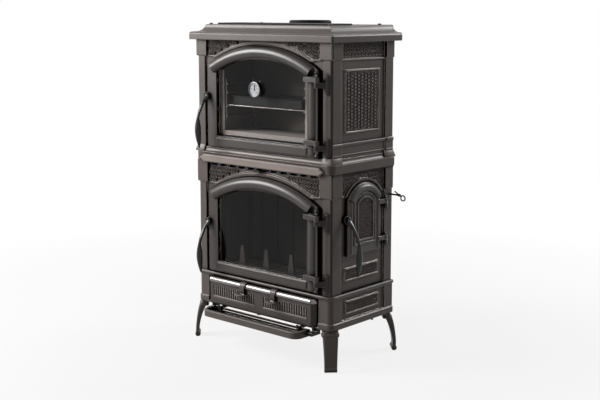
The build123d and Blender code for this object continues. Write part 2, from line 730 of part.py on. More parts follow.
# ------------------------------------------------------------------ mantel and top
def mantel_plate():
    """The firebox roof, with the moulding that runs round front and sides."""
    fascia = Z_MANTEL + MANTEL_FASCIA
    steps = [
        (MANTEL_OUT - 3, Z_MANTEL),
        (MANTEL_OUT, Z_MANTEL + 3),
        (MANTEL_OUT, fascia),
        ((2.0, fascia + 7), (0.0, Z_UPPER)),
    ]
    shape = swept_block(steps, 0)
    inner_w, inner_d = SIDE_IN - 8, HALF_D - SIDE_T - 6
    shape -= block(-inner_w, inner_w, -inner_d, inner_d, Z_MANTEL + WALL, Z_UPPER)
    smoke = block(-OVEN_HALF, OVEN_HALF, BACK - 60, BACK - 32, Z_MANTEL - 1, Z_UPPER)
    return shape - smoke


def mantel_bar():
    """A long flat bar with pointed ends and bevelled edges."""
    low = Z_MANTEL - BAR_BELOW
    high, middle = low + BAR_H, low + BAR_H / 2
    flat = BAR_HALF - BAR_POINT
    corners = [(-BAR_HALF, middle), (-flat, high), (flat, high),
               (BAR_HALF, middle), (flat, low), (-flat, low)]
    sheet = make_face(Polyline(*corners, close=True))
    bar = extrude(front_plane(FRONT - MANTEL_OUT) * sheet, amount=BAR_T)
    return chamfer(bar.faces().sort_by(Axis.Y)[0].edges(), 4)


def top_cornice():
    """The moulded top, with a seat for the hob plate and a hole for the flue."""
    fascia = Z_CORNICE + CORNICE_FASCIA
    ledge = fascia + 9
    steps = [
        (CORNICE_OUT - 1, Z_CORNICE),
        (CORNICE_OUT, Z_CORNICE + 2),
        (CORNICE_OUT, fascia),
        (CORNICE_OUT - 1, fascia + 1),
        ((CORNICE_OUT - 4, fascia + 6), (CORNICE_OUT - 10, ledge)),
        (CORNICE_OUT - 22, ledge + 1),
        ((-CORNICE_TOP_IN + 13, ledge + 10), (-CORNICE_TOP_IN + 6, Z_TOP - 3)),
        (-CORNICE_TOP_IN, Z_TOP),
    ]
    shape = mitred_block(steps, CORNICE_OUT)
    outline = RectangleRounded(BODY_W + 2 * CORNICE_OUT, BODY_D + 2 * CORNICE_OUT, CORNICE_CORNER_R)
    shape = shape & (Pos(0, 0, Z_CORNICE) * extrude(outline, amount=CORNICE_H))
    inner_w, inner_d = SIDE_IN, HALF_D - SIDE_T
    shape -= block(-inner_w, inner_w, -inner_d, inner_d, Z_CORNICE, Z_TOP - CORNICE_H / 2)
    well_w, well_d = inner_w - 24, inner_d - 20
    shape -= block(-well_w, well_w, -well_d, inner_d, Z_CORNICE, Z_TOP - TOP_PLATE_T)
    y0 = FRONT + HOB_FRONT_MARGIN
    half = HOB_HALF_W - HOB_RIM
    shape -= block(-half, half, y0 + HOB_RIM, y0 + HOB_D - HOB_RIM, Z_CORNICE, Z_TOP + 1)
    return shape - upright(0, FLUE_Y, Z_CORNICE, FLUE_R + FLUE_WALL + FIT, CORNICE_H + 1)


def hob_plate():
    """A flat plate with a plug under it that drops into the top."""
    y0 = FRONT + HOB_FRONT_MARGIN
    plate = block(-HOB_HALF_W, HOB_HALF_W, y0, y0 + HOB_D, Z_TOP, Z_TOP + HOB_RISE)
    plate = fillet(plate.edges().filter_by(Axis.Z), 14)
    plate = chamfer(plate.edges().group_by(Axis.Z)[-1], 1.5)
    inset = HOB_RIM + FIT
    half = HOB_HALF_W - inset
    plug = block(-half, half, y0 + inset, y0 + HOB_D - inset, Z_TOP - TOP_PLATE_T, Z_TOP)
    return plate + plug


def flue_collar():
    top = Z_TOP + FLUE_RISE
    ring = upright(0, FLUE_Y, top - FLUE_LENGTH, FLUE_R + FLUE_WALL, FLUE_LENGTH)
    flange = upright(0, FLUE_Y, Z_TOP, FLUE_R + FLUE_FLANGE, FLUE_RISE - 3)
    return ring + flange - upright(0, FLUE_Y, top - FLUE_LENGTH - 1, FLUE_R, FLUE_LENGTH + 2)


# ------------------------------------------------------------------ front doors
def door_casting(z0):
    """The arched door frame with its roll, hinge strap eyes and bottom rail."""
    low, spring, crown = z0 + DOOR_RAIL, z0 + OPENING_SPRING, z0 + OPENING_CROWN
    outline = arch(DOOR_HALF, z0, z0 + DOOR_SPRING, z0 + DOOR_H)
    opening = arch(OPENING_HALF, low, spring, crown)
    shape = extrude(front_plane(DOOR_BACK) * (outline - opening), amount=DOOR_T)
    shape = chamfer(shape.faces().sort_by(Axis.Y)[0].outer_wire().edges(), 2.5)
    middle_half = (DOOR_HALF + OPENING_HALF) / 2 - 6
    middle_spring = (spring + z0 + DOOR_SPRING) / 2 - 1
    middle_crown = (crown + z0 + DOOR_H) / 2
    hub_x, hub_z = -(DOOR_HALF - HANDLE_IN), z0 + HANDLE_LEVEL
    shape += along_y(hub_x, DOOR_FACE, DOOR_BACK, hub_z, EAR_R)
    shape += arch_roll(DOOR_FACE, middle_half, middle_spring, middle_crown, ROLL_R, ROLL_OUT)
    shape += arch_roll(DOOR_FACE, OPENING_HALF + 4, spring + 4, crown + 5, 4, 5)
    shape += stile_roll(z0)
    rail = block(-OPENING_HALF, OPENING_HALF, DOOR_FACE - 4, DOOR_FACE, z0 + 5, low - 6)
    shape += chamfer(rail.faces().sort_by(Axis.Y)[0].edges(), 3.5)
    rebate = arch(OPENING_HALF + LIP + FIT, low - LIP - FIT, spring + FIT, crown + LIP + FIT)
    shape -= extrude(front_plane(DOOR_BACK + 1) * rebate, amount=GLASS_T + 1 + FIT)
    for level in (LOWER_HINGE, UPPER_HINGE):
        shape += hinge_strap(z0 + level)
    for level in (LOWER_HINGE, UPPER_HINGE):
        hole = z0 + level - STRAP_H / 2 - 1
        shape -= upright(HINGE_X, HINGE_Y, hole, ROD_R + RUN, STRAP_H + 2)
    return shape - along_y(hub_x, DOOR_FACE - 9, DOOR_BACK + 1, hub_z, SPINDLE_R + RUN)


def stile_roll(z0):
    """The upright half round on the hinge side of a door."""
    x = (DOOR_HALF + OPENING_HALF) / 2 + 1
    low, high = z0 + 12, z0 + OPENING_SPRING - 4
    half_w = ROLL_R - 2
    flat = Line((x - half_w, DOOR_FACE), (x + half_w, DOOR_FACE))
    curve = ThreePointArc(flat @ 1, (x, DOOR_FACE - ROLL_OUT + 4), flat @ 0)
    section = make_face(flat + curve)
    return extrude(Pos(0, 0, low) * section, amount=high - low)


def hinge_strap(z):
    """A strap across the stile roll, ending in an eye round the rod."""
    low = z - STRAP_H / 2
    start = HINGE_X - STRAP_L
    bar = block(start, HINGE_X, HINGE_Y - STRAP_T / 2, HINGE_Y + STRAP_T / 2, low, low + STRAP_H)
    foot = block(start, start + 18, HINGE_Y, DOOR_FACE, low, low + STRAP_H)
    return bar + foot + upright(HINGE_X, HINGE_Y, low, EYE_R, STRAP_H)


def door_glass(z0):
    low, spring, crown = z0 + DOOR_RAIL, z0 + OPENING_SPRING, z0 + OPENING_CROWN
    sheet = arch(OPENING_HALF + LIP, low - LIP, spring, crown + LIP)
    return extrude(front_plane(DOOR_BACK - FIT) * sheet, amount=GLASS_T)


def oven_glass():
    """The oven glass has a hole for the thermometer's stem."""
    hole = along_y(DIAL_X, DOOR_BACK - 2 * GLASS_T, DOOR_BACK + 1, OVEN_Z + DIAL_LEVEL, STEM_R + FIT)
    return door_glass(OVEN_Z) - hole


def glass_clips(z0):
    """Six small clips with screws that hold the glass from behind."""
    clips = []
    edge = OPENING_HALF + LIP
    high, low = OPENING_SPRING - CLIP_IN, DOOR_RAIL + CLIP_IN
    below_handle = HANDLE_LEVEL - HUB_R - CLIP_IN
    for x, z in ((edge, low), (edge, (low + high) / 2), (edge, high),
                 (-edge, low), (-edge, below_handle), (-edge, high)):
        sign = 1 if x > 0 else -1
        x0, x1 = sorted((x - sign * LIP, x + sign * CLIP_L))
        plate = block(x0, x1, DOOR_BACK, DOOR_BACK + SHEET, z0 + z - LIP, z0 + z + LIP)
        head = along_y(x + sign * LIP, DOOR_BACK + 1, DOOR_BACK + CLIP_SCREW, z0 + z, LIP / 2)
        clips.append(plate + head)
    return clips


def hinge_lugs(z0):
    """Two lugs on the right post, each with an eye under a door strap."""
    lugs = []
    for level in (LOWER_HINGE, UPPER_HINGE):
        high = z0 + level - STRAP_H / 2 - FIT
        low = high - LUG_H
        shape = upright(HINGE_X, HINGE_Y, low, EYE_R, LUG_H)
        face = FRONT
        boss_x = POST_IN + BOSS_IN
        foot = [(HINGE_X + 2, HINGE_Y - 6), (HINGE_X + 2, HINGE_Y + 9),
                (boss_x - 4, face), (boss_x + 6, face)]
        arm = make_face(Polyline(*foot, close=True))
        shape += extrude(Pos(0, 0, low) * arm, amount=LUG_H)
        boss = upright(boss_x, face, (low + high - BOSS_H) / 2, BOSS_R, BOSS_H)
        boss = chamfer(boss.edges().filter_by(GeomType.CIRCLE), 3)
        shape += boss & block(boss_x - BOSS_R, boss_x + BOSS_R, face - BOSS_R, face, 0, Z_TOP)
        shape -= upright(HINGE_X, HINGE_Y, low - 1, ROD_R + RUN, LUG_H + 2)
        lugs.append(shape)
    return lugs


def hinge_rod(z0):
    """One long rod through both hinges, with a ball on top and a nut below."""
    top = z0 + UPPER_HINGE + STRAP_H / 2
    low = z0 + LOWER_HINGE - STRAP_H / 2 - FIT - LUG_H
    rod = upright(HINGE_X, HINGE_Y, low - NUT_H - 4, ROD_R, top - low + NUT_H + 6)
    rod += Pos(HINGE_X, HINGE_Y, top + FINIAL_R + 1) * Sphere(FINIAL_R)
    rod += upright(HINGE_X, HINGE_Y, top + FIT, ROD_R + 1.5, 2)
    nut = RegularPolygon(ROD_R * 1.8, 6)
    return rod + Pos(HINGE_X, HINGE_Y, low - NUT_H) * extrude(nut, amount=NUT_H)


def lever_handle():
    """A lever in its own frame: hub on the origin, door towards +Y, grip hanging down."""
    reach, drop = HANDLE_REACH, ARM_DROP
    # out from the door, height, half width, half thickness
    rows = [
        (HUB_OUT * 0.5, 0.0, 9.5, 8.0),
        (0.36 * reach, -0.20 * drop, 9.0, 6.5),
        (0.64 * reach, -0.46 * drop, 8.0, 5.5),
        (0.86 * reach, -0.74 * drop, 7.0, 5.0),
        (0.98 * reach, -drop, NECK_R, NECK_R),
        (reach, -drop - 0.20 * GRIP_L, GRIP_R * 0.82, GRIP_R * 0.62),
        (reach, -drop - 0.42 * GRIP_L, GRIP_R, GRIP_R * 0.72),
        (reach - 2, -drop - 0.66 * GRIP_L, GRIP_R * 0.84, GRIP_R * 0.62),
        (reach - 5, -drop - 0.86 * GRIP_L, GRIP_R * 0.48, GRIP_R * 0.42),
        (reach - 8, -drop - GRIP_L, GRIP_R * 0.16, GRIP_R * 0.16),
    ]
    sections = []
    for i, (out, z, wide, thick) in enumerate(rows):
        before, after = rows[max(i - 1, 0)], rows[min(i + 1, len(rows) - 1)]
        run, fall = after[0] - before[0], after[1] - before[1]
        length = hypot(run, fall)
        place = Plane(origin=(0, -out, z), x_dir=(1, 0, 0), z_dir=(0, -run / length, fall / length))
        sections.append(place * Ellipse(wide, thick))
    hub = along_y(0, -HUB_OUT, 0, 0, HUB_R)
    hub = chamfer(hub.edges().group_by(Axis.Y)[0], 2)
    lever = hub + loft(sections)
    return lever - block(-HUB_R, HUB_R, 0, HUB_R, -2 * HUB_R, 2 * HUB_R)


def latch(cam_y, start_y):
    """The spindle and its cam, in the handle's own frame."""
    spindle = along_y(0, start_y, cam_y + CAM_T, 0, SPINDLE_R)
    cam = along_y(0, cam_y, cam_y + CAM_T, 0, CAM_R * 0.7)
    tongue = block(-CAM_R, 0, cam_y, cam_y + CAM_T, -5, 5)
    return spindle + cam + tongue


def front_handle(z0):
    place = Pos(-(DOOR_HALF - HANDLE_IN), DOOR_FACE - FIT, z0 + HANDLE_LEVEL)
    return place * lever_handle()


def front_latch(z0):
    """It starts inside the door and turns in the gap behind it."""
    place = Pos(-(DOOR_HALF - HANDLE_IN), DOOR_FACE, z0 + HANDLE_LEVEL)
    gap = (DOOR_BACK_GAP - CAM_T) / 2
    return place * latch(DOOR_T + gap, -FIT)


def thermometer():
    """A round case standing on the oven glass, with its stem through it."""
    z = OVEN_Z + DIAL_LEVEL
    glass_face = DOOR_BACK - FIT - GLASS_T
    dial_front = glass_face - DIAL_T
    case = along_y(DIAL_X, dial_front, glass_face, z, DIAL_R)
    well = along_y(DIAL_X, dial_front - 1, dial_front + DIAL_WELL, z, DIAL_R - DIAL_RIM)
    case = fillet(case.edges().group_by(Axis.Y)[0], 2) - well
    stem = along_y(DIAL_X, glass_face - 2, DOOR_BACK + 12, z, STEM_R)
    stub = along_y(DIAL_X, dial_front + 1.2, dial_front + 6, z, 1.5)
    return case + stem + stub


def dial_plate():
    """The printed plate at the bottom of the thermometer's case."""
    z = OVEN_Z + DIAL_LEVEL
    y = DOOR_BACK - FIT - GLASS_T - DIAL_T + DIAL_WELL
    plate = along_y(DIAL_X, y - DIAL_PLATE_T, y, z, DIAL_R - DIAL_RIM - FIT)
    return plate - along_y(DIAL_X, y - 1, y + 1, z, 1.5 + FIT)


def thermometer_needle():
    """The needle, free on the stub in the case."""
    z = OVEN_Z + DIAL_LEVEL
    y = DOOR_BACK - FIT - GLASS_T - DIAL_T + 2.2
    boss = along_y(DIAL_X, y, y + NEEDLE_T, z, 3.5)
    pointer = make_face(Polyline((-3, -4), (3, -4), (0.8, NEEDLE_L), (-0.8, NEEDLE_L), close=True))
    pointer = extrude(front_plane(y + NEEDLE_T) * Pos(DIAL_X, z) * pointer, amount=NEEDLE_T)
    return boss + pointer - along_y(DIAL_X, y - 1, y + 3, z, 1.5 + RUN)


# ------------------------------------------------------------------ side loading door
SIDE_DOOR_BACK = SIDE_FACE + 2.0
SIDE_DOOR_FACE = SIDE_DOOR_BACK + SIDE_DOOR_T
SIDE_AXIS_X = HALF_W + SIDE_AXIS_OUT
SIDE_AXIS_Y = SIDE_CENTRE_Y + SIDE_DOOR_HALF + SIDE_HINGE_BEHIND
SIDE_HUB_Y = SIDE_CENTRE_Y - SIDE_DOOR_HALF - SIDE_HUB_OUT
SIDE_HUB_Z = Z_LOWER + SIDE_HANDLE_LEVEL
SIDE_ARCH = (SIDE_DOOR_HALF, Z_LOWER + SIDE_DOOR_LOW, Z_LOWER + SIDE_DOOR_SPRING,
             Z_LOWER + SIDE_DOOR_CROWN)


def side_door():
    """The arched loading door with its roll, inner beads and strap eyes."""
    shape = extrude(side_plane(SIDE_DOOR_BACK) * arch(*SIDE_ARCH, SIDE_CENTRE_Y), amount=SIDE_DOOR_T)
    shape = chamfer(shape.faces().sort_by(Axis.X)[-1].outer_wire().edges(), 3)
    shape += side_roll()
    for inset, wide, out in ((36.0, 7.0, 4.0), (52.0, 5.0, 6.0)):
        band = inset_arch(*SIDE_ARCH, inset, SIDE_CENTRE_Y)
        band -= inset_arch(*SIDE_ARCH, inset + wide, SIDE_CENTRE_Y)
        shape += extrude(side_plane(SIDE_DOOR_FACE) * band, amount=out)
    shape += along_x(SIDE_DOOR_BACK, SIDE_DOOR_FACE, SIDE_HUB_Y, SIDE_HUB_Z, EAR_R)
    for level in (SIDE_HINGE_LOW, SIDE_HINGE_UP):
        z = Z_LOWER + level - STRAP_H / 2
        y0 = SIDE_AXIS_Y - 44
        shape += block(SIDE_AXIS_X - 4, SIDE_AXIS_X + 4, y0, SIDE_AXIS_Y, z, z + STRAP_H)
        shape += block(SIDE_DOOR_FACE - 1, SIDE_AXIS_X + 4, y0, y0 + 12, z, z + STRAP_H)
        shape += upright(SIDE_AXIS_X, SIDE_AXIS_Y, z, EYE_R - 3, STRAP_H)
        shape -= upright(SIDE_AXIS_X, SIDE_AXIS_Y, z - 1, ROD_R + RUN, STRAP_H + 2)
    return shape - along_x(SIDE_DOOR_BACK - 1, SIDE_DOOR_FACE + 1, SIDE_HUB_Y, SIDE_HUB_Z, SPINDLE_R + RUN)


def side_roll():
    """The half round arch of the side door, with flatter legs down both sides."""
    half, low, spring, crown = SIDE_ARCH
    inset = SIDE_ROLL_R + 4
    bend = arc_radius(half, crown - spring)
    inner_spring = crown - bend + sqrt((bend - inset) ** 2 - (half - inset) ** 2)
    top = arch_roll(0, half - inset, inner_spring, crown - inset, SIDE_ROLL_R, SIDE_ROLL_OUT)
    shape = Pos(SIDE_DOOR_FACE, SIDE_CENTRE_Y, 0) * Rot(0, 0, 90) * top
    for sign in (-1, 1):
        y = SIDE_CENTRE_Y + sign * (half - inset)
        flat = Line((SIDE_DOOR_FACE, y - SIDE_STILE_HALF), (SIDE_DOOR_FACE, y + SIDE_STILE_HALF))
        crest = (SIDE_DOOR_FACE + SIDE_STILE_OUT, y)
        section = make_face(flat + ThreePointArc(flat @ 1, crest, flat @ 0))
        shape += extrude(Pos(0, 0, low + 10) * section, amount=inner_spring - low - 10)
    return shape


def side_handle():
    return Pos(SIDE_DOOR_FACE + FIT, SIDE_HUB_Y, SIDE_HUB_Z) * Rot(0, 0, 90) * lever_handle()


def side_latch():
    place = Pos(SIDE_DOOR_FACE, SIDE_HUB_Y, SIDE_HUB_Z)
    return place * Rot(0, 0, 90) * along_y(0, -FIT, SIDE_DOOR_T - FIT, 0, SPINDLE_R)


def side_hinge_lugs():
    lugs = []
    for level in (SIDE_HINGE_LOW, SIDE_HINGE_UP):
        high = Z_LOWER + level - STRAP_H / 2 - FIT
        low = high - LUG_H
        shape = upright(SIDE_AXIS_X, SIDE_AXIS_Y, low, SIDE_EYE_R, LUG_H)
        start = BACK - SIDE_POST_REAR + SIDE_LEAF_IN
        arm = [(SIDE_AXIS_X - ROD_R, SIDE_AXIS_Y), (SIDE_AXIS_X + ROD_R, SIDE_AXIS_Y),
               (HALF_W, start + SIDE_ARM_W), (HALF_W, start)]
        shape += extrude(Pos(0, 0, low) * make_face(Polyline(*arm, close=True)), amount=LUG_H)
        shape += block(HALF_W, HALF_W + SIDE_LEAF_T, start, start + SIDE_LEAF_W,
                       low - SIDE_LEAF_OVER, high + SIDE_LEAF_OVER)
        shape -= upright(SIDE_AXIS_X, SIDE_AXIS_Y, low - 1, ROD_R + RUN, LUG_H + 2)
        lugs.append(shape)
    return lugs


def side_hinge_pins():
    pins = []
    for level in (SIDE_HINGE_LOW, SIDE_HINGE_UP):
        top = Z_LOWER + level + STRAP_H / 2
        low = top - STRAP_H - FIT - LUG_H
        pin = upright(SIDE_AXIS_X, SIDE_AXIS_Y, low, ROD_R, top - low + 3)
        pin += upright(SIDE_AXIS_X, SIDE_AXIS_Y, low - 3, ROD_R + 2, 3)
        pins.append(pin + Pos(SIDE_AXIS_X, SIDE_AXIS_Y, top + FINIAL_R + 1) * Sphere(FINIAL_R))
    return pins


# ------------------------------------------------------------------ ash drawer and air
BASE_FACE = FRONT - BASE_OUT
DRAWER_FACE = BASE_FACE - DRAWER_OUT
DRAWER_Z = Z_BASE + DRAWER_LOW
RAIL_Z = DRAWER_Z + DRAWER_H


def ash_drawer_front():
    """The bulging front with bevelled ends, a rolled rail on top and two framed fields."""
    back = FRONT + SKIN
    shape = block(-DRAWER_HALF, DRAWER_HALF, DRAWER_FACE, back, DRAWER_Z, RAIL_Z)
    shape += along_x(-DRAWER_HALF, DRAWER_HALF, DRAWER_FACE + RAIL_R - 5, RAIL_Z, RAIL_R)
    inner, outer = DRAWER_HALF - DRAWER_BEVEL, DRAWER_HALF + 1
    near, far = DRAWER_FACE - RAIL_R, DRAWER_FACE + DRAWER_BEVEL + 6
    corners = [(inner, near), (outer, near), (outer, far), (DRAWER_HALF, far), (inner, DRAWER_FACE)]
    ends = make_face(Polyline(*corners, close=True))
    cut = extrude(Pos(0, 0, DRAWER_Z - 1) * ends, amount=DRAWER_H + 2 * RAIL_R)
    shape -= left_too(cut)
    x0, x1 = DRAWER_FRAME_IN, DRAWER_HALF - DRAWER_FRAME_END
    field = block(x0, x1, DRAWER_FACE - 1, DRAWER_FACE + 4, DRAWER_Z + 22, RAIL_Z - 22)
    return shape - left_too(field)


def ash_pan():
    """A sheet pan open at the top, fixed behind the drawer front."""
    y0, z0 = FRONT + SKIN, DRAWER_Z
    y1, z1 = y0 + PAN_D, z0 + PAN_H
    half = PAN_HALF - SHEET
    tray = block(-PAN_HALF, PAN_HALF, y0, y1, z0, z1)
    return tray - block(-half, half, y0 + SHEET, y1 - SHEET, z0 + SHEET, z1 + 1)


def air_lever(x):
    """A plate that rides over the rail, with a curved tongue in front of it."""
    half = LEVER_W / 2
    rail_y = DRAWER_FACE + RAIL_R - 5
    inner, outer = RAIL_R + FIT, RAIL_R + FIT + LEVER_T
    ring = upright(0, 0, 0, outer, LEVER_W) - upright(0, 0, -1, inner, LEVER_W + 2)
    quarter = ring & block(-outer, 0, 0, outer, 0, LEVER_W)
    strap = Pos(x - half, rail_y, RAIL_Z) * Rot(0, 90, 0) * Rot(0, 0, 90) * quarter
    back = FRONT - BASE_BEAD_OUT - FIT
    plate = block(x - half, x + half, rail_y - 0.01, back, RAIL_Z + inner, RAIL_Z + outer)
    y0 = rail_y - inner
    low = RAIL_Z - TONGUE_DROP
    neck = block(x - half + 4, x + half - 4, rail_y - outer, y0, low, RAIL_Z + 1)
    chord = Line((x - TONGUE_W / 2, y0), (x + TONGUE_W / 2, y0))
    rim = ThreePointArc(chord @ 1, (x, y0 - TONGUE_OUT), chord @ 0)
    tongue = Pos(0, 0, low - LEVER_T) * extrude(make_face(chord + rim), amount=LEVER_T)
    tongue = chamfer(tongue.edges().filter_by(GeomType.CIRCLE).group_by(Axis.Z)[0], 2)
    return strap + plate + neck + tongue


# ------------------------------------------------------------------ ash shelf
SHELF_Z = Z_BASE - SHELF_DROP
SHELF_BACK = FRONT - 8.0
SHELF_FRONT = SHELF_BACK - SHELF_D


def ash_shelf():
    """A shallow tray with rounded front corners, under the drawer."""
    def plan(inset):
        x, y0, y1 = SHELF_HALF - inset, SHELF_FRONT + inset, SHELF_BACK - min(inset, 6)
        flat = Rectangle(2 * x, y1 - y0)
        flat = fillet(flat.vertices().group_by(Axis.Y)[0], SHELF_CORNER - inset)
        return Pos(0, (y0 + y1) / 2, 0) * flat
    shape = Pos(0, 0, SHELF_Z) * extrude(plan(0), amount=SHELF_RIM)
    shape -= Pos(0, 0, SHELF_Z + SHELF_FLOOR) * extrude(plan(SHELF_RIM_W), amount=SHELF_RIM)
    top = shape.faces().sort_by(Axis.Z)[-1]
    shape = fillet(top.outer_wire().edges(), 4)
    for x in (-BRACKET_X, BRACKET_X):
        half = BRACKET_W / 2 + FIT
        shape -= block(x - half, x + half, SHELF_BACK - 10, SHELF_BACK + 1, SHELF_Z + SHELF_FLOOR, Z_BASE)
    return shape


def shelf_brackets():
    """Two hooks under the base that carry the shelf's rod, and two ears at its ends."""
    found = []
    for sign in (-1, 1):
        x = sign * BRACKET_X
        x0, x1 = x - BRACKET_W / 2, x + BRACKET_W / 2
        near = SHELF_BACK - BRACKET_D
        hook = block(x0, x1, near, SHELF_BACK + 1, SHELF_Z + SHELF_FLOOR, Z_BASE)
        hook += block(x0, x1, near, FRONT + HOOK_FOOT_D, Z_BASE - HOOK_FOOT_T, Z_BASE)
        hook += along_y(x, near - HOOK_PEG_L, near, SHELF_Z + SHELF_RIM + HOOK_PEG_UP, LEG_BOLT_R)
        found.append(hook)
    for sign in (-1, 1):
        x0, x1 = sorted((sign * (SHELF_HALF + FIT), sign * (SHELF_HALF + EAR_L)))
        low = SHELF_Z + EAR_LOW
        ear = block(x0, x1, SHELF_BACK - EAR_BACK, FRONT + EAR_DEEP, low, low + EAR_T)
        ear += block(x0, x1, FRONT, FRONT + EAR_DEEP, low, Z_BASE)
        found.append(ear)
    return found


def shelf_rod():
    half = BRACKET_X - BRACKET_W / 2
    return along_x(-half, half, SHELF_BACK - 12, SHELF_Z + SHELF_FLOOR + 12, SHELF_ROD_R)


# ------------------------------------------------------------------ oven
OVEN_BOX_Z = Z_UPPER + OVEN_FLOOR
OVEN_FRONT = PANEL_BACK


def oven_box():
    """A sheet box open to the front, with a flange behind the front casting."""
    outer = OVEN_HALF + SHEET
    top = OVEN_BOX_Z + OVEN_H
    y1 = OVEN_FRONT + OVEN_D
    shape = block(-outer, outer, OVEN_FRONT, y1, OVEN_BOX_Z - SHEET, top + SHEET)
    reach = OVEN_HALF + FLANGE_W
    shape += block(-reach, reach, OVEN_FRONT, OVEN_FRONT + SHEET, OVEN_BOX_Z - FLANGE_W, top + FLANGE_W / 3)
    return shape - block(-OVEN_HALF, OVEN_HALF, OVEN_FRONT - 1, y1 - SHEET, OVEN_BOX_Z, top)


def rack_runners():
    """A ladder of wires on each side wall of the oven."""
    found = []
    y0, y1 = OVEN_FRONT + RUNNER_NEAR, OVEN_FRONT + OVEN_D - RUNNER_FAR
    low = OVEN_BOX_Z + RUNNER_LEVELS[0] - RUNNER_BELOW
    high = OVEN_BOX_Z + RUNNER_LEVELS[-1] + RUNNER_ABOVE
    for sign in (-1, 1):
        x = sign * (OVEN_HALF - RUNNER_R)
        ladder = upright(x, y0, low, RUNNER_R, high - low) + upright(x, y1, low, RUNNER_R, high - low)
        inner = sign * (OVEN_HALF - 3 * RUNNER_R)
        for level in RUNNER_LEVELS:
            z = OVEN_BOX_Z + level
            ladder += along_y(inner, y0 - RUNNER_LAP, y1 + RUNNER_LAP, z, RUNNER_R)
            for y in (y0, y1):
                ends = sorted((x, inner))
                ladder += along_x(ends[0], ends[1], y, z, RUNNER_R * 0.9)
        pad_x = sorted((x, sign * OVEN_HALF))
        for y in (y0, y1):
            ladder += block(pad_x[0], pad_x[1], y - RUNNER_R, y + RUNNER_R, low, low + 4 * RUNNER_R)
        found.append(ladder)
    return found


def oven_rack():
    """A wire shelf that rests on one pair of runners."""
    half = OVEN_HALF - 2 * RUNNER_R - 1
    z = OVEN_BOX_Z + RACK_LEVEL + RUNNER_R + RACK_WIRE_R
    y0, y1 = OVEN_FRONT + 20, OVEN_FRONT + OVEN_D - 14
    shape = along_x(-half, half, y0, z, RACK_WIRE_R) + along_x(-half, half, y1, z, RACK_WIRE_R)
    for x in (-half + RACK_WIRE_R, half - RACK_WIRE_R):
        shape += along_y(x, y0, y1, z, RACK_WIRE_R)
    pitch = (y1 - y0) / (RACK_BARS + 1)
    thin = RACK_WIRE_R * 0.7
    for i in range(RACK_BARS):
        y = y0 + pitch * (i + 1)
        shape += along_x(-half + RACK_WIRE_R, half - RACK_WIRE_R, y, z + RACK_WIRE_R - thin, thin)
    return shape


def oven_tray():
    """A deep black tray that stands on the rack."""
    half = OVEN_HALF - 2 * RUNNER_R - TRAY_MARGIN - 8
    z = OVEN_BOX_Z + RACK_LEVEL + RUNNER_R + 2 * RACK_WIRE_R
    y0, y1 = OVEN_FRONT + 20 + TRAY_MARGIN, OVEN_FRONT + OVEN_D - 14 - TRAY_MARGIN
    shape = block(-half, half, y0, y1, z, z + TRAY_H)
    shape = fillet(shape.edges().filter_by(Axis.Z), 12)
    inside = block(-half + SHEET, half - SHEET, y0 + SHEET, y1 - SHEET, z + SHEET, z + TRAY_H + 1)
    inside = fillet(inside.edges().filter_by(Axis.Z), 12 - SHEET)
    rim = block(-half - 5, half + 5, y0 - 5, y1 + 5, z + TRAY_H - SHEET, z + TRAY_H)
    rim = fillet(rim.edges().filter_by(Axis.Z), 16)
    return shape + rim - inside


# ------------------------------------------------------------------ firebox
LINER_Y = PANEL_BACK + FIREBOX_FRONT
HEARTH_Z = Z_LOWER + HEARTH_LEVEL
LINER_Z = HEARTH_Z + HEARTH_T


def hearth_grate():
    """The hearth plate with a barred grate over the ash pan, on four short feet."""
    half = FIREBOX_HALF + LINER_T
    y0, y1 = LINER_Y - 10, LINER_Y + FIREBOX_D + LINER_T
    shape = block(-half, half, y0, y1, HEARTH_Z, LINER_Z)
    centre = (y0 + y1) / 2
    pitch = 2 * GRATE_HALF_W / GRATE_BARS
    for i in range(GRATE_BARS):
        x = -GRATE_HALF_W + pitch * (i + 0.5)
        shape -= block(x - pitch * 0.28, x + pitch * 0.28, centre - GRATE_HALF_D, centre + GRATE_HALF_D,
                       HEARTH_Z - 1, LINER_Z + 1)
    for sign in (-1, 1):
        x0, x1 = sorted((sign * half, sign * (SIDE_IN - FIT - HEARTH_RAIL_W / 3)))
        for y in (LINER_Y + HEARTH_FOOT_L, LINER_Y + FIREBOX_D - 2 * HEARTH_FOOT_L):
            shape += block(x0, x1, y, y + HEARTH_FOOT_L, HEARTH_Z, LINER_Z)
    return shape


def side_liners():
    found = []
    for sign in (-1, 1):
        x0, x1 = sorted((sign * FIREBOX_HALF, sign * (FIREBOX_HALF + LINER_T)))
        liner = block(x0, x1, LINER_Y, LINER_Y + FIREBOX_D, LINER_Z, LINER_Z + LINER_H)
        if sign > 0:
            half = SIDE_DOOR_HALF - SIDE_SILL
            low, high = Z_LOWER + SIDE_DOOR_LOW + SIDE_SILL, LINER_Z + LINER_H - LINER_T * 2
            hole = Pos(SIDE_CENTRE_Y, (low + high) / 2) * Rectangle(2 * half, high - low)
            liner -= extrude(side_plane(x0 - 1) * hole, amount=LINER_T + 2)
        found.append(liner)
    return found


def back_liner():
    y = LINER_Y + FIREBOX_D
    half = FIREBOX_HALF + LINER_T
    shape = block(-half, half, y, y + LINER_T, LINER_Z, LINER_Z + LINER_H)
    for i in range(5):
        x = -half + 2 * half * (i + 1) / 6
        shape -= block(x - 4, x + 4, y - 1, y + 4, LINER_Z + 25, LINER_Z + LINER_H - 25)
    return shape


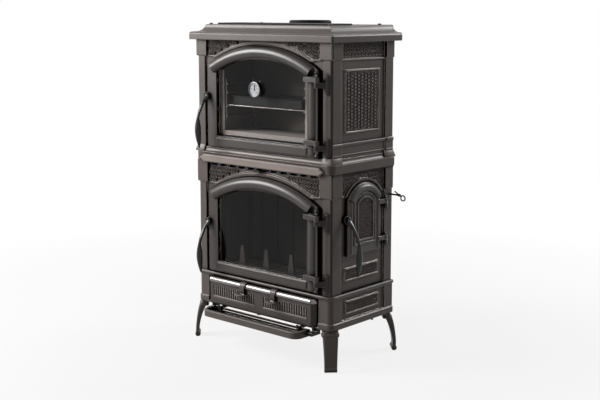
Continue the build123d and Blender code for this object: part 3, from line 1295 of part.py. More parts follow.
def log_retainer():
    """A low bar across the hearth with three tapered fingers."""
    y0 = LINER_Y - 4
    half = FIREBOX_HALF - 3
    z = LINER_Z
    shape = block(-half, half, y0, y0 + RETAINER_T, z, z + RETAINER_H)
    for i in (-1, 0, 1):
        x, low = FINGER_PITCH * i, z + RETAINER_H - 1
        high = z + RETAINER_H + FINGER_H
        corners = [(x - FINGER_BASE / 2, low), (x + FINGER_BASE / 2, low),
                   (x + FINGER_TIP / 2, high), (x - FINGER_TIP / 2, high)]
        finger = make_face(Polyline(*corners, close=True))
        shape += extrude(front_plane(y0 + RETAINER_T) * finger, amount=RETAINER_T)
    return shape


def baffle_plate():
    """A sloping plate over the fire, resting on the side liners."""
    half = FIREBOX_HALF + LINER_T
    y0, y1 = LINER_Y + BAFFLE_START, LINER_Y + FIREBOX_D + LINER_T
    z = LINER_Z + LINER_H
    high = z + BAFFLE_RISE
    corners = [(y0, high), (y1, z), (y1, z + BAFFLE_T), (y0, high + BAFFLE_T)]
    plate = extrude(side_plane(-half) * make_face(Polyline(*corners, close=True)), amount=2 * half)
    ledge = block(-half, half, y1 - 12, y1, z, z + BAFFLE_T)
    return plate + ledge


ROD_Y = BACK - ROD_BACK
ROD_Z = Z_LOWER + BYPASS_LEVEL


def bypass_flap():
    """A rod through the right side, with a flap behind the back liner."""
    rod = along_x(-FLAP_HALF - 20, HALF_W + ROD_OUT, ROD_Y, ROD_Z, BYPASS_ROD_R)
    flap = block(-FLAP_HALF, FLAP_HALF, ROD_Y - FLAP_T / 2, ROD_Y + FLAP_T / 2, ROD_Z, ROD_Z + FLAP_H)
    return rod + flap


def bypass_handle():
    """A wire grip across the rod's end: a straight tail and a closed loop."""
    x = HALF_W + ROD_OUT
    tail = Rot(0, LOOP_TILT, 0) * along_x(-LOOP_TAIL, LOOP_R, 0, 0, LOOP_WIRE_R)
    loop = Rot(0, LOOP_TILT, 0) * Pos(2 * LOOP_R, 0, 0) * Rot(90, 0, 0) * Torus(LOOP_R, LOOP_WIRE_R)
    boss = along_x(-4, 4, 0, 0, LOOP_WIRE_R + 3)
    grip = Pos(x, ROD_Y, ROD_Z) * (tail + loop + boss)
    return grip - along_x(x - 60, x, ROD_Y, ROD_Z, BYPASS_ROD_R + RUN)


# ------------------------------------------------------------------ the whole stove
NODES = {
    "base_casting": base_casting,
    "leg_front_left": lambda: leg(-1, -1),
    "leg_front_right": lambda: leg(1, -1),
    "leg_rear_left": lambda: leg(-1, 1),
    "leg_rear_right": lambda: leg(1, 1),
    "leg_bolts": leg_bolts,
    "lower_front": lower_front,
    "lower_side_right": lower_side_right,
    "lower_side_left": lower_side_left,
    "lower_back": lambda: back_panel(Z_LOWER, Z_MANTEL),
    "mantel_plate": mantel_plate,
    "mantel_bar": mantel_bar,
    "upper_front": upper_front,
    "upper_side_right": upper_side,
    "upper_side_left": lambda: on_left(upper_side()),
    "upper_back": lambda: back_panel(Z_UPPER, Z_CORNICE),
    "top_cornice": top_cornice,
    "hob_plate": hob_plate,
    "flue_collar": flue_collar,
    "oven_box": oven_box,
    "rack_runners": rack_runners,
    "oven_rack": oven_rack,
    "oven_tray": oven_tray,
    "oven_door": lambda: door_casting(OVEN_Z),
    "oven_glass": oven_glass,
    "oven_glass_clips": lambda: glass_clips(OVEN_Z),
    "oven_handle": lambda: front_handle(OVEN_Z),
    "oven_latch": lambda: front_latch(OVEN_Z),
    "thermometer": thermometer,
    "dial_plate": dial_plate,
    "thermometer_needle": thermometer_needle,
    "oven_hinge_rod": lambda: hinge_rod(OVEN_Z),
    "oven_hinge_lugs": lambda: hinge_lugs(OVEN_Z),
    "fire_door": lambda: door_casting(FIRE_Z),
    "fire_glass": lambda: door_glass(FIRE_Z),
    "fire_glass_clips": lambda: glass_clips(FIRE_Z),
    "fire_handle": lambda: front_handle(FIRE_Z),
    "fire_latch": lambda: front_latch(FIRE_Z),
    "fire_hinge_rod": lambda: hinge_rod(FIRE_Z),
    "fire_hinge_lugs": lambda: hinge_lugs(FIRE_Z),
    "side_door": side_door,
    "side_handle": side_handle,
    "side_latch": side_latch,
    "side_hinge_pins": side_hinge_pins,
    "side_hinge_lugs": side_hinge_lugs,
    "ash_drawer_front": ash_drawer_front,
    "ash_pan": ash_pan,
    "air_lever_left": lambda: air_lever(-LEVER_X),
    "air_lever_right": lambda: air_lever(LEVER_X),
    "upper_air_slide": upper_air_slide,
    "ash_shelf": ash_shelf,
    "shelf_rod": shelf_rod,
    "shelf_brackets": shelf_brackets,
    "hearth_grate": hearth_grate,
    "side_liners": side_liners,
    "back_liner": back_liner,
    "log_retainer": log_retainer,
    "baffle_plate": baffle_plate,
    "bypass_flap": bypass_flap,
    "bypass_handle": bypass_handle,
}

# The box of the whole stove, from the pieces that reach furthest
FOOT_REACH = (LEG_SPLAY + FOOT_R + LEG_FOOT_W / 2) / sqrt(2.0) - LEG_INSET / 2
REACH_LEFT = max(HALF_W + CORNICE_OUT, HALF_W + FOOT_REACH)
REACH_RIGHT = HALF_W + ROD_OUT + 2 * LOOP_R * cos(radians(LOOP_TILT)) + LOOP_R + LOOP_WIRE_R
REACH_BACK = max(BACK + CORNICE_OUT, BACK + FOOT_REACH)
REACH_FRONT = -SHELF_FRONT
SHIFT = ((REACH_LEFT - REACH_RIGHT) / 2, (REACH_FRONT - REACH_BACK) / 2, 0.0)


def solids_of(shape):
    return [s for piece in (shape if isinstance(shape, list) else [shape]) for s in piece.solids()]


def write(name, shape):
    """Moves a node into the stove's frame and writes it."""
    moved = [Pos(*SHIFT) * solid for solid in solids_of(shape)]
    node = moved[0] if len(moved) == 1 else Compound(children=moved)
    export_step(node, f"parts/{name}.step")


if __name__ == "__main__":
    for name, make in NODES.items():
        write(name, make())
    print("moved by", [round(v, 2) for v in SHIFT])
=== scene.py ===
# %% [markdown]
# # A cast-iron cookstove, dressed in Blender
# The CAD model gives every casting its place and its main form. This notebook adds what
# a foundry and a paint shop add: embossed ornament, a dial, worn edges, stove paint,
# enamel and steel. The castings could be modelled again here, but then they would drift
# away from the parts that move, so they are loaded and stay exactly where they are.

# %% The castings
from math import cos, radians, sin, sqrt

import bmesh
import bpy
from mathutils import Matrix, Vector


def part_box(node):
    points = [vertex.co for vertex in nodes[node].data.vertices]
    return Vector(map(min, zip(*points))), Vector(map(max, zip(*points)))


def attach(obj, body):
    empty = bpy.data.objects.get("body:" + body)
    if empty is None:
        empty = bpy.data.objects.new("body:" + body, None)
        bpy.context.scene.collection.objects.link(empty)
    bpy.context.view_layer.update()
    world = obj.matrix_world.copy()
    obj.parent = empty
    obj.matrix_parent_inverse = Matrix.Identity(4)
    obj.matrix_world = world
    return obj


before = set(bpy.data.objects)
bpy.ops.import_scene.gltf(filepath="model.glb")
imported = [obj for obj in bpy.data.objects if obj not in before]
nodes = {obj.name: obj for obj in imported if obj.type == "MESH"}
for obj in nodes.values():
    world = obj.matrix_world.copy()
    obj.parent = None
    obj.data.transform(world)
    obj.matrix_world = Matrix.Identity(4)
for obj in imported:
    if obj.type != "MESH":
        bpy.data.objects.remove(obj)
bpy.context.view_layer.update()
print("castings and fittings:", len(nodes))

# %% [markdown]
# Everything on a stove is measured from its centre line and from the faces of its corner
# posts. These lines could be typed in as numbers, but they come from the boxes of the
# castings instead, so the ornament finds its place again if a casting changes.

# %% Lines to measure from
mantel_low, mantel_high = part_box("mantel_plate")
CENTRE = (mantel_low.x + mantel_high.x) / 2
upper_low, upper_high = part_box("upper_front")
lower_low, lower_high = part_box("lower_front")
BLOCK_OUT = 0.005                    # the frieze blocks stand in front of the posts
MANTEL_OUT = 0.0105                  # the mantel stands outside the posts
PANEL_IN = 0.008                     # the panels lie behind the posts
POST_FACE = upper_low.y + BLOCK_OUT
BACK = mantel_high.y
SIDE = mantel_high.x - MANTEL_OUT
PANEL = POST_FACE + PANEL_IN
OVEN_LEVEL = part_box("oven_door")[0].z
FIRE_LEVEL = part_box("fire_door")[0].z
print("centre line", round(CENTRE, 4), "post faces", round(POST_FACE, 4))
print("right side", round(SIDE, 4), "oven door from", round(OVEN_LEVEL, 4))

# %% [markdown]
# Working by hand means: click on empty space, add a shape, go into edit mode, select
# faces, use a tool, come out, apply. Each piece could repeat all of those clicks. These
# helpers do them instead, so that a piece below reads as its own short recipe.

# %% The clicks
def clear():
    """Clicks on empty space."""
    if bpy.context.object and bpy.context.object.mode != "OBJECT":
        bpy.ops.object.mode_set(mode="OBJECT")
    bpy.ops.object.select_all(action="DESELECT")


def pick(piece):
    """Clicks on one piece."""
    clear()
    piece.select_set(True)
    bpy.context.view_layer.objects.active = piece
    return piece


def edit(piece, chosen=None, kind="FACE"):
    """Goes into edit mode with the faces, edges or vertices chosen by a test selected."""
    pick(piece)
    bpy.ops.object.mode_set(mode="EDIT")
    bpy.ops.mesh.select_mode(type=kind)
    bpy.ops.mesh.select_all(action="DESELECT" if chosen else "SELECT")
    if chosen:
        shell = bmesh.from_edit_mesh(piece.data)
        for part in {"FACE": shell.faces, "EDGE": shell.edges, "VERT": shell.verts}[kind]:
            if chosen(part):
                part.select_set(True)
        shell.select_flush_mode()
        bmesh.update_edit_mesh(piece.data)


def done():
    """Comes out of edit mode."""
    bpy.ops.object.mode_set(mode="OBJECT")


print("clicks ready:", [step.__name__ for step in (clear, pick, edit, done)])

# %% [markdown]
# Cast ornament repeats, so most pieces are copies of one template, joined. An array or an
# instance would keep them linked, but a joined mesh is one piece that can ride on one body
# of the stove, get one finish and be exported as it is.

# %% Copies, joins and the last steps of a piece
def apply_place(piece):
    """Puts the origin back to zero, with nothing turned or scaled."""
    pick(piece)
    bpy.ops.object.transform_apply(location=True, rotation=True, scale=True)


def finish(piece, name, finish_name, body, slot, smooth):
    """Names a piece, sets it down in the stove's frame and hands it to its body."""
    apply_place(piece)
    if smooth:
        bpy.ops.object.shade_smooth_by_angle(angle=radians(smooth))
    piece.name = piece.data.name = name
    piece.data.materials.clear()
    piece.data.materials.append(FINISH[finish_name])
    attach(piece, body)
    count = len(piece.data.polygons)
    size = [round(d * 1000) for d in piece.dimensions]
    print(name, "faces", count, "size in mm", size)
    return piece


def copy_of(piece, place):
    """A copy with its own mesh, moved by a matrix."""
    twin = piece.copy()
    twin.data = piece.data.copy()
    bpy.context.scene.collection.objects.link(twin)
    twin.matrix_world = place @ piece.matrix_world
    return twin


def join(pieces):
    """Joins pieces into the first one."""
    clear()
    for piece in pieces:
        piece.select_set(True)
    bpy.context.view_layer.objects.active = pieces[0]
    bpy.ops.object.join()
    return pieces[0]


def discard(piece):
    """Throws a template away after its copies are made."""
    bpy.data.objects.remove(piece)


def outward(piece):
    """Merges doubles and turns the faces outwards."""
    edit(piece)
    bpy.ops.mesh.remove_doubles(threshold=0.00001)
    bpy.ops.mesh.normals_make_consistent(inside=False)
    done()


print("last steps ready:", [step.__name__ for step in (copy_of, join, outward, finish)])

# %% [markdown]
# ## Finishes
# Stove paint on cast iron is never one flat grey. The sand of the mould leaves a fine
# grain, the arrises rub thin and are painted paler still as a painted highlight, recesses
# are painted darker as painted shade, and dust settles on what faces up. Each material
# could hold its own copy of those effects. Four small node groups make them once instead,
# and each finish below uses them with its own values.

# %% Node helpers
def feed(tree, made, inputs):
    """Feeds a node's inputs with values or other sockets."""
    for key, value in inputs.items():
        if isinstance(value, bpy.types.NodeSocket):
            tree.links.new(value, made.inputs[key])
        else:
            made.inputs[key].default_value = value


def node(tree, kind, inputs=None, **settings):
    """Adds a node, sets its options and feeds its inputs."""
    made = tree.nodes.new("ShaderNode" + kind)
    for key, value in settings.items():
        setattr(made, key, value)
    feed(tree, made, inputs or {})
    return made


def noise(tree, place, scale, detail=2.0, rough=0.5):
    """A cloudy pattern between 0 and 1."""
    return node(tree, "TexNoise", {"Vector": place, "Scale": scale, "Detail": detail,
                                   "Roughness": rough}).outputs["Fac"]


def span(tree, value, low=0.0, high=1.0, to_low=0.0, to_high=1.0):
    """Stretches a value from one range to another, and stops at its ends."""
    return node(tree, "MapRange", {"Value": value, "From Min": low, "From Max": high,
                                   "To Min": to_low, "To Max": to_high}).outputs[0]


def calc(tree, kind, a, b, c=0.0, clamp=False):
    """One Math node and its result."""
    return node(tree, "Math", {0: a, 1: b, 2: c}, operation=kind, use_clamp=clamp).outputs[0]


print("node helpers ready:", [step.__name__ for step in (node, noise, span, calc)])

# %% [markdown]
# A node group is a small tree with inputs and outputs of its own. It could be put together
# in the shader editor by hand, but here its sockets can be read as a list of names.

# %% A new node group
def new_group(name, ins, outs):
    """A node group with float inputs given as name: default, and named outputs."""
    tree = bpy.data.node_groups.new(name, "ShaderNodeTree")
    tree.interface.new_socket("Place", in_out="INPUT", socket_type="NodeSocketVector")
    for label, value in ins.items():
        socket = tree.interface.new_socket(label, in_out="INPUT", socket_type="NodeSocketFloat")
        socket.default_value = value
    for label, kind in outs.items():
        tree.interface.new_socket(label, in_out="OUTPUT", socket_type=kind)
    return tree, tree.nodes.new("NodeGroupInput"), tree.nodes.new("NodeGroupOutput")


print("node groups so far:", len(bpy.data.node_groups))

# %% [markdown]
# ### Casting grain
# A sand casting keeps the face of its mould: fine grain, small pits, and slow blotches in
# the paint above them. It could be sculpted, but it is under a tenth of a millimetre high
# and only has to bend the light, so a noise and a cell texture make a height for a bump.

# %% Casting grain
def make_casting_grain():
    """Fine sand grain and slow mottling of a painted casting."""
    floats = {"Grain": 900.0, "Mottle": 9.0}
    outs = {"Height": "NodeSocketFloat", "Mottling": "NodeSocketFloat"}
    tree, given, result = new_group("casting_grain", floats, outs)
    sand = noise(tree, given.outputs["Place"], given.outputs["Grain"], 3.0, 0.6)
    pits = node(tree, "TexVoronoi", {"Vector": given.outputs["Place"], "Scale": 260.0})
    pit = span(tree, pits.outputs["Distance"], 0.0, 0.25, -0.6, 0.0)
    slow = noise(tree, given.outputs["Place"], given.outputs["Mottle"], 4.0, 0.55)
    feed(tree, result, {"Height": calc(tree, "ADD", sand, pit), "Mottling": slow})
    return tree


CASTING_GRAIN = make_casting_grain()
print("casting grain:", len(CASTING_GRAIN.nodes), "nodes")

# %% [markdown]
# ### Rubbed and highlighted edges
# Hands and brushes wear the paint off every arris, and the arrises are painted paler
# still, as a painted highlight. A mask painted by hand would fit one shape only, so it is
# worked out: the Bevel node gives the normal of a slightly rounded shape, and wherever
# that turns away from the true normal there is an edge.

# %% Rubbed and highlighted edges
def make_rubbed_and_lit_edges():
    """A mask of the arrises, from how far the surface turns within a small radius."""
    floats = {"Radius": 0.0022, "Amount": 1.0}
    outs = {"Edge": "NodeSocketFloat", "Normal": "NodeSocketVector"}
    tree, given, result = new_group("rubbed_and_lit_edges", floats, outs)
    soft = node(tree, "Bevel", {"Radius": given.outputs["Radius"]}, samples=4)
    hard = node(tree, "NewGeometry")
    turn = node(tree, "VectorMath", {0: soft.outputs[0], 1: hard.outputs["Normal"]},
                operation="DOT_PRODUCT")
    away = calc(tree, "SUBTRACT", 1.0, turn.outputs["Value"])
    patchy = noise(tree, given.outputs["Place"], 60.0, 3.0)
    broken = span(tree, patchy, 0.35, 0.65, 0.4, 1.0)
    strong = calc(tree, "MULTIPLY", away, 4.0)
    edge = calc(tree, "MULTIPLY", strong, broken)
    edge = calc(tree, "MULTIPLY", edge, given.outputs["Amount"], clamp=True)
    feed(tree, result, {"Edge": edge, "Normal": soft.outputs[0]})
    return tree


RUBBED_AND_LIT_EDGES = make_rubbed_and_lit_edges()
print("rubbed edges:", len(RUBBED_AND_LIT_EDGES.nodes), "nodes")

# %% [markdown]
# ### Settled dust
# Fine dust lies on ledges and on the top. It could be a layer of particles, but it is only
# a paler colour on what faces up, so the normal's Z gives a mask and a noise breaks it up.

# %% Settled dust
def make_settled_dust():
    """Dust lies on what faces up, in soft patches."""
    outs = {"Dust": "NodeSocketFloat"}
    tree, given, result = new_group("settled_dust", {"Amount": 0.3}, outs)
    way = node(tree, "NewGeometry")
    parts = node(tree, "SeparateXYZ", {0: way.outputs["Normal"]})
    up = span(tree, parts.outputs["Z"], 0.55, 1.0)
    lying = calc(tree, "MULTIPLY", up, noise(tree, given.outputs["Place"], 16.0, 4.0))
    feed(tree, result, {"Dust": calc(tree, "MULTIPLY", lying, given.outputs["Amount"])})
    return tree


SETTLED_DUST = make_settled_dust()
print("settled dust:", len(SETTLED_DUST.nodes), "nodes")

# %% [markdown]
# ### Deep corners
# Every recess is painted blacker than the wall round it, as painted shade. It could be
# painted in, but the Ambient Occlusion node measures how open a spot is, and does so for
# the ornament and for the big corners alike.

# %% Deep corners
def make_deep_corners():
    """How open a spot is: 1 on open walls, 0 deep in a corner or between ornament."""
    outs = {"Open": "NodeSocketFloat"}
    tree, given, result = new_group("deep_corners", {"Reach": 0.018}, outs)
    look = node(tree, "AmbientOcclusion", {"Distance": given.outputs["Reach"]}, samples=6)
    wobble = noise(tree, given.outputs["Place"], 120.0)
    shift = calc(tree, "MULTIPLY_ADD", wobble, 0.2, look.outputs["AO"])
    feed(tree, result, {"Open": span(tree, shift, 0.60, 1.02)})
    return tree


DEEP_CORNERS = make_deep_corners()
print("shared effects:", [tree.name for tree in bpy.data.node_groups])

# %% [markdown]
# ### Blank materials
# Every finish starts from the same blank: a Principled shader that reads its patterns from
# the piece's own coordinates. An unwrapped UV map would do the same, but castings have no
# seams to unwrap along, and with object coordinates the grain is equally fine everywhere.

# %% Blank materials
FINISH = {}


def paper(name):
    """An empty material with its output and a Principled shader."""
    material = bpy.data.materials.new(name)
    material.use_nodes = True
    tree = material.node_tree
    shader = tree.nodes["Principled BSDF"]
    where = node(tree, "TexCoord")
    place = node(tree, "Mapping", {"Vector": where.outputs["Object"]})
    FINISH[name] = material
    return tree, shader, place.outputs[0]


def group(tree, shared, place, **values):
    """Uses a shared effect, with values for its inputs."""
    return node(tree, "Group", {"Place": place, **values}, node_tree=shared)


def colour_mix(tree, factor, a, b):
    """Mixes two colours; each may be a tuple or a socket."""
    return node(tree, "Mix", {0: factor, 6: a, 7: b}, data_type="RGBA").outputs[2]


def grey(level, warmth=0.0):
    """A grey that leans to brown by its warmth."""
    return (level * (1 + 1.5 * warmth), level, level * (1 - 0.7 * warmth), 1.0)


print("a warm grey:", [round(part, 3) for part in grey(0.1, 0.1)])

# %% [markdown]
# ### Stove paint
# The body is painted a warm anthracite with a soft sheen, so that mouldings carry broad
# pale highlights. The doors are a shade darker and shinier. The mantel bar and the thin
# frames are painted paler, as painted highlights, and the firebox is nearly black. One
# flat material for all would look like plastic, and one built by hand for each would not
# match, so one recipe makes them: a Principled shader with a grey that varies a little,
# middling roughness and a fine bump, and with its own values for each finish.

# %% Stove paint
def cast_paint(name, level, edge_grey, roughness, edge_share=0.5, dust=0.15, bump=0.00004, reach=0.028,
               sheen=0.2):
    """Painted cast iron: level is the paint's grey; the next value is the grey of an arris,
    paler partly from wear and partly as a painted highlight; reach is how far a corner's
    painted shade spreads; and sheen how much the paint mirrors."""
    tree, shader, place = paper(name)
    skin = group(tree, CASTING_GRAIN, place)
    edges = group(tree, RUBBED_AND_LIT_EDGES, place, Amount=edge_share)
    fallen = group(tree, SETTLED_DUST, place, Amount=dust)
    corners = group(tree, DEEP_CORNERS, place, Reach=reach)
    paint = colour_mix(tree, skin.outputs["Mottling"], grey(level * 0.8, 0.11),
                       grey(level * 1.2, 0.14))
    # painted shade: recesses turn to a near-black grey
    painted_shade = colour_mix(tree, corners.outputs["Open"], grey(level * 0.12, 0.1), paint)
    # arrises turn pale: partly wear, partly a painted highlight
    worn_and_lit = colour_mix(tree, edges.outputs["Edge"], painted_shade, grey(edge_grey, 0.1))
    dusty = colour_mix(tree, fallen.outputs["Dust"], worn_and_lit, grey(0.32, 0.06))
    # recesses also turn metallic, so they lose their diffuse light: more painted shade
    closed = calc(tree, "SUBTRACT", 1.0, corners.outputs["Open"])
    rough = span(tree, skin.outputs["Mottling"], 0.0, 1.0, roughness - 0.05, roughness + 0.06)
    relief = node(tree, "Bump", {"Height": skin.outputs["Height"], "Distance": bump,
                                 "Strength": 0.8, "Normal": edges.outputs["Normal"]})
    feed(tree, shader, {"Base Color": dusty, "Metallic": closed, "Roughness": rough,
                        "Specular IOR Level": sheen, "Normal": relief.outputs[0]})
    return tree, shader, place, dusty, rough


cast_paint("stove_paint", 0.068, 0.55, 0.34, edge_share=0.7)
cast_paint("door_paint", 0.030, 0.50, 0.34, sheen=0.38)
# painted highlight: the mantel bar's finish is paler than the body
cast_paint("polished_paint", 0.17, 0.50, 0.32)
cast_paint("ornament_paint", 0.085, 0.30, 0.38, edge_share=0.4, reach=0.008, sheen=0.2)
# painted highlight: the finish of thin rims and small raised bars is paler than the body
cast_paint("highlight_rim_paint", 0.125, 0.50, 0.32, edge_share=0.7, reach=0.008, sheen=0.3)
cast_paint("inner_casting", 0.014, 0.03, 0.62, edge_share=0.3, dust=0.1)
cast_paint("firebox_liner", 0.016, 0.03, 0.75, edge_share=0.4, dust=0.2, bump=0.00008)
cast_paint("dark_fittings", 0.024, 0.40, 0.30, edge_share=0.9, dust=0.1)
print("painted finishes:", sorted(FINISH))

# %% [markdown]
# ### Black enamel
# The levers, the roasting tray and the wire handle are black enamel. The levers are
# smooth and gloss, and the tray is matt from use. A plain black would do from far away,
# but close up enamel has a slight ripple and paler edges, so a slow noise drives its
# roughness and its bump.

# %% Enamel
def gloss(name, level, roughness, coat, peel=0.15, sheen=0.3):
    """Black enamel: peel is the strength of its orange peel."""
    tree, shader, place = paper(name)
    edges = group(tree, RUBBED_AND_LIT_EDGES, place, Amount=0.25, Radius=0.001)
    ripple = noise(tree, place, 90.0, 1.0)
    tone = colour_mix(tree, edges.outputs["Edge"], grey(level), grey(level * 5 + 0.02, 0.02))
    smear = span(tree, ripple, 0.0, 1.0, roughness * 0.8, roughness * 1.3)
    relief = node(tree, "Bump", {"Height": ripple, "Distance": 0.0001,
                                 "Strength": peel, "Normal": edges.outputs["Normal"]})
    feed(tree, shader, {"Base Color": tone, "Roughness": smear, "Normal": relief.outputs[0],
                        "Coat Weight": coat, "Coat Roughness": 0.06,
                        "Specular IOR Level": sheen})


gloss("lever_enamel", 0.004, 0.24, 0.0)
gloss("tray_enamel", 0.006, 0.50, 0.0, peel=0.0, sheen=0.12)
gloss("wire_enamel", 0.006, 0.30, 0.1)
print("enamels:", [name for name in FINISH if name.endswith("enamel")])

# %% [markdown]
# ### Steel
# The latches' spindles are drawn steel, the hinge rods and the shelf's rod are blackened
# by heat, and the oven's rack is heat-dulled wire. Drawn steel has scratches along one
# axis, which stretch its highlights. An anisotropic shader could do that, but instead a
# noise is stretched along the bar and drives the roughness.

# %% Steel
def brushed(name, level, roughness, along, warmth=0.02, metal=1.0):
    """Drawn or brushed steel, with fine scratches along the axis that is named."""
    tree, shader, place = paper(name)
    stretch = [700.0, 700.0, 700.0]
    stretch["XYZ".index(along)] = 12.0
    drawn = node(tree, "Mapping", {"Vector": place, "Scale": stretch})
    lines = noise(tree, drawn.outputs[0], 1.0, 4.0)
    tone = colour_mix(tree, noise(tree, place, 14.0, 3.0), grey(level * 0.82, warmth),
                      grey(level * 1.12, warmth))
    rough = span(tree, lines, 0.0, 1.0, roughness * 0.85, roughness * 1.15)
    relief = node(tree, "Bump", {"Height": lines, "Distance": 0.00001, "Strength": 0.4})
    feed(tree, shader, {"Base Color": tone, "Metallic": metal, "Roughness": rough,
                        "Normal": relief.outputs[0]})
    return tree, shader, place, tone


brushed("drawn_steel", 0.12, 0.30, "X")
brushed("blackened_steel", 0.06, 0.26, "Z")
brushed("oven_wire", 0.14, 0.30, "Y", warmth=0.06)
brushed("dial_case", 0.20, 0.28, "X")
print("steels:", [name for name in FINISH if name.endswith(("steel", "wire", "case"))])

# %% [markdown]
# ### The oven's lining
# The oven is lined with stainless sheet. Years of heat turn it brown and dull. Above the
# shelf it is painted nearly black, as painted shade. A mirror-like metal would only show
# the dark walls across from it, so the sheet is made dull, and its tone changes with height.

# %% Heat-stained sheet, painted dark above the shelf
def oven_sheet():
    """Dull sheet, darker above the oven's rack."""
    tree, shader, place, tone = brushed("oven_sheet", 0.20, 0.55, "Y", warmth=0.10, metal=0.0)
    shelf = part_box("oven_rack")[0].z
    parts = node(tree, "SeparateXYZ", {0: place})
    # painted shade: above the rack the sheet turns nearly black
    shade_above_rack = span(tree, parts.outputs["Z"], shelf - 0.05, shelf + 0.03)
    feed(tree, shader, {"Base Color": colour_mix(tree, shade_above_rack, tone, grey(0.030, 0.15))})
    print("the oven darkens above", round(shelf, 3))


oven_sheet()

# %% [markdown]
# ### The drawer's polished rail
# The drawer front is one casting, but its rolled top edge is polished bright where hands
# pull it. The rail could be a piece of its own with its own material, but the casting is
# one piece, so its material does the change: above a level on the drawer the paint gives
# way to bare polished metal, with a soft, uneven border.

# %% Drawer paint with a bright rail
RAIL_DEEP = 0.0185        # the bright rail's border below the drawer's top
BORDER = 0.0012           # how soft and uneven that border is


def drawer_paint():
    """Paint below the rail, bare metal on it."""
    tree, shader, place, paint, rough = cast_paint("drawer_paint", 0.050, 0.40, 0.34)
    rail_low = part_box("ash_drawer_front")[1].z - RAIL_DEEP
    parts = node(tree, "SeparateXYZ", {0: place})
    shaken = calc(tree, "MULTIPLY_ADD", noise(tree, place, 40.0), BORDER, parts.outputs["Z"])
    bare = span(tree, shaken, rail_low, rail_low + BORDER)
    feed(tree, shader, {"Base Color": colour_mix(tree, bare, paint, grey(0.20, 0.03)),
                        "Metallic": calc(tree, "MULTIPLY", bare, 0.75),
                        "Roughness": span(tree, bare, 0.0, 1.0, rough, 0.30)})
    print("the bright rail begins at", round(rail_low, 3))


drawer_paint()

# %% [markdown]
# ### Glass
# Stove glass is a clear ceramic with a faint warm tint. Real glass bends the light of the
# lamps, which takes a renderer very long to find, and the oven behind it would stay dark
# and grainy. So the camera sees true glass, and for shadow, diffuse and glossy rays the
# pane counts as clear.

# %% Glass
def stove_glass():
    """Glass for the camera, and an open window for the light."""
    tree, shader, place = paper("stove_glass")
    film = noise(tree, place, 7.0, 3.0)
    tint = colour_mix(tree, film, (0.80, 0.78, 0.74, 1), (0.90, 0.89, 0.86, 1))
    feed(tree, shader, {"Base Color": tint, "Roughness": 0.0, "Transmission Weight": 1.0,
                        "IOR": 1.38, "Specular Tint": (0.3, 0.3, 0.3, 1)})
    path = node(tree, "LightPath")
    lit = calc(tree, "MAXIMUM", path.outputs["Is Shadow Ray"], path.outputs["Is Diffuse Ray"])
    lit = calc(tree, "MAXIMUM", lit, path.outputs["Is Glossy Ray"])
    clear_pane = node(tree, "BsdfTransparent")
    both = node(tree, "MixShader", {0: lit, 1: shader.outputs[0], 2: clear_pane.outputs[0]})
    tree.links.new(both.outputs[0], tree.nodes["Material Output"].inputs["Surface"])


stove_glass()
print("glass:", FINISH["stove_glass"].name)

# %% [markdown]
# ### The dial's colours
# The thermometer has a pale enamelled plate with black print and a black needle. Flat
# colours would do at this size, but a cloud in the enamel and a slight peel keep the
# plate from looking like paper close up.

# %% Dial enamel and needle
def flat_enamel(name, low, high, roughness):
    """Enamel that clouds between two colours."""
    tree, shader, place = paper(name)
    cloud = noise(tree, place, 120.0, 3.0)
    peel = node(tree, "Bump", {"Height": cloud, "Distance": 0.0001, "Strength": 0.3})
    feed(tree, shader, {"Base Color": colour_mix(tree, cloud, low, high),
                        "Roughness": roughness, "Normal": peel.outputs[0]})


flat_enamel("dial_white", (0.27, 0.28, 0.30, 1), (0.36, 0.37, 0.39, 1), 0.45)
flat_enamel("dial_print", (0.03, 0.03, 0.03, 1), (0.05, 0.05, 0.05, 1), 0.5)
flat_enamel("needle_black", (0.012, 0.012, 0.014, 1), (0.03, 0.03, 0.035, 1), 0.35)
print("all finishes:", sorted(FINISH))

# %% [markdown]
# ### Painting the castings
# Each CAD node already has a slot that says what it is made of. Every node could be
# painted by name, but most share a finish, so it goes by slot, straight into the node's
# material slots, and only a few nodes get a finish of their own.

# %% Paint every node
SLOT_FINISH = {
    "cast_iron_body": "stove_paint",
    "cast_iron_inside": "inner_casting",
    "liner_plate": "firebox_liner",
    "black_gloss": "lever_enamel",
    "black_wire": "wire_enamel",
    "steel_pin": "drawn_steel",
    "dark_steel": "dark_fittings",
    "stainless": "oven_sheet",
    "enamel_black": "tray_enamel",
    "needle_red": "needle_black",
    "dial_white": "dial_white",
    "stove_glass": "stove_glass",
}
OWN_FINISH = {
    "ash_drawer_front": "drawer_paint",
    "oven_door": "door_paint",
    "fire_door": "door_paint",
    "side_door": "door_paint",
    # the mantel bar gets the paler finish, a painted highlight
    "mantel_bar": "polished_paint",
    "oven_rack": "oven_wire",
    "rack_runners": "oven_wire",
    "thermometer": "dial_case",
    "shelf_rod": "blackened_steel",
    "oven_hinge_rod": "blackened_steel",
    "fire_hinge_rod": "blackened_steel",
    "side_hinge_pins": "blackened_steel",
    "bypass_flap": "blackened_steel",
    "upper_air_slide": "blackened_steel",
    "hob_plate": "inner_casting",
    "oven_hinge_lugs": "dark_fittings",
    "fire_hinge_lugs": "dark_fittings",
    "side_hinge_lugs": "dark_fittings",
}
used = {}
for label, piece in nodes.items():
    for holder in piece.material_slots:
        slot_name = holder.material.name.split(".")[0]
        finish_name = OWN_FINISH.get(label, SLOT_FINISH.get(slot_name, "stove_paint"))
        holder.material = FINISH[finish_name]
        used.setdefault(finish_name, []).append(label)
for finish_name, labels in sorted(used.items()):
    print(finish_name, len(labels))

# %% [markdown]
# ## Cast ornament
# The flat fields of the stove carry cast relief: rings with a bud in the middle, in close
# rows. It could be a bump in the paint, but real relief catches light on its rims and
# keeps its outline from the side, so one ring is modelled by hand and repeated. Each
# ring has only a few dozen faces, because there are hundreds.

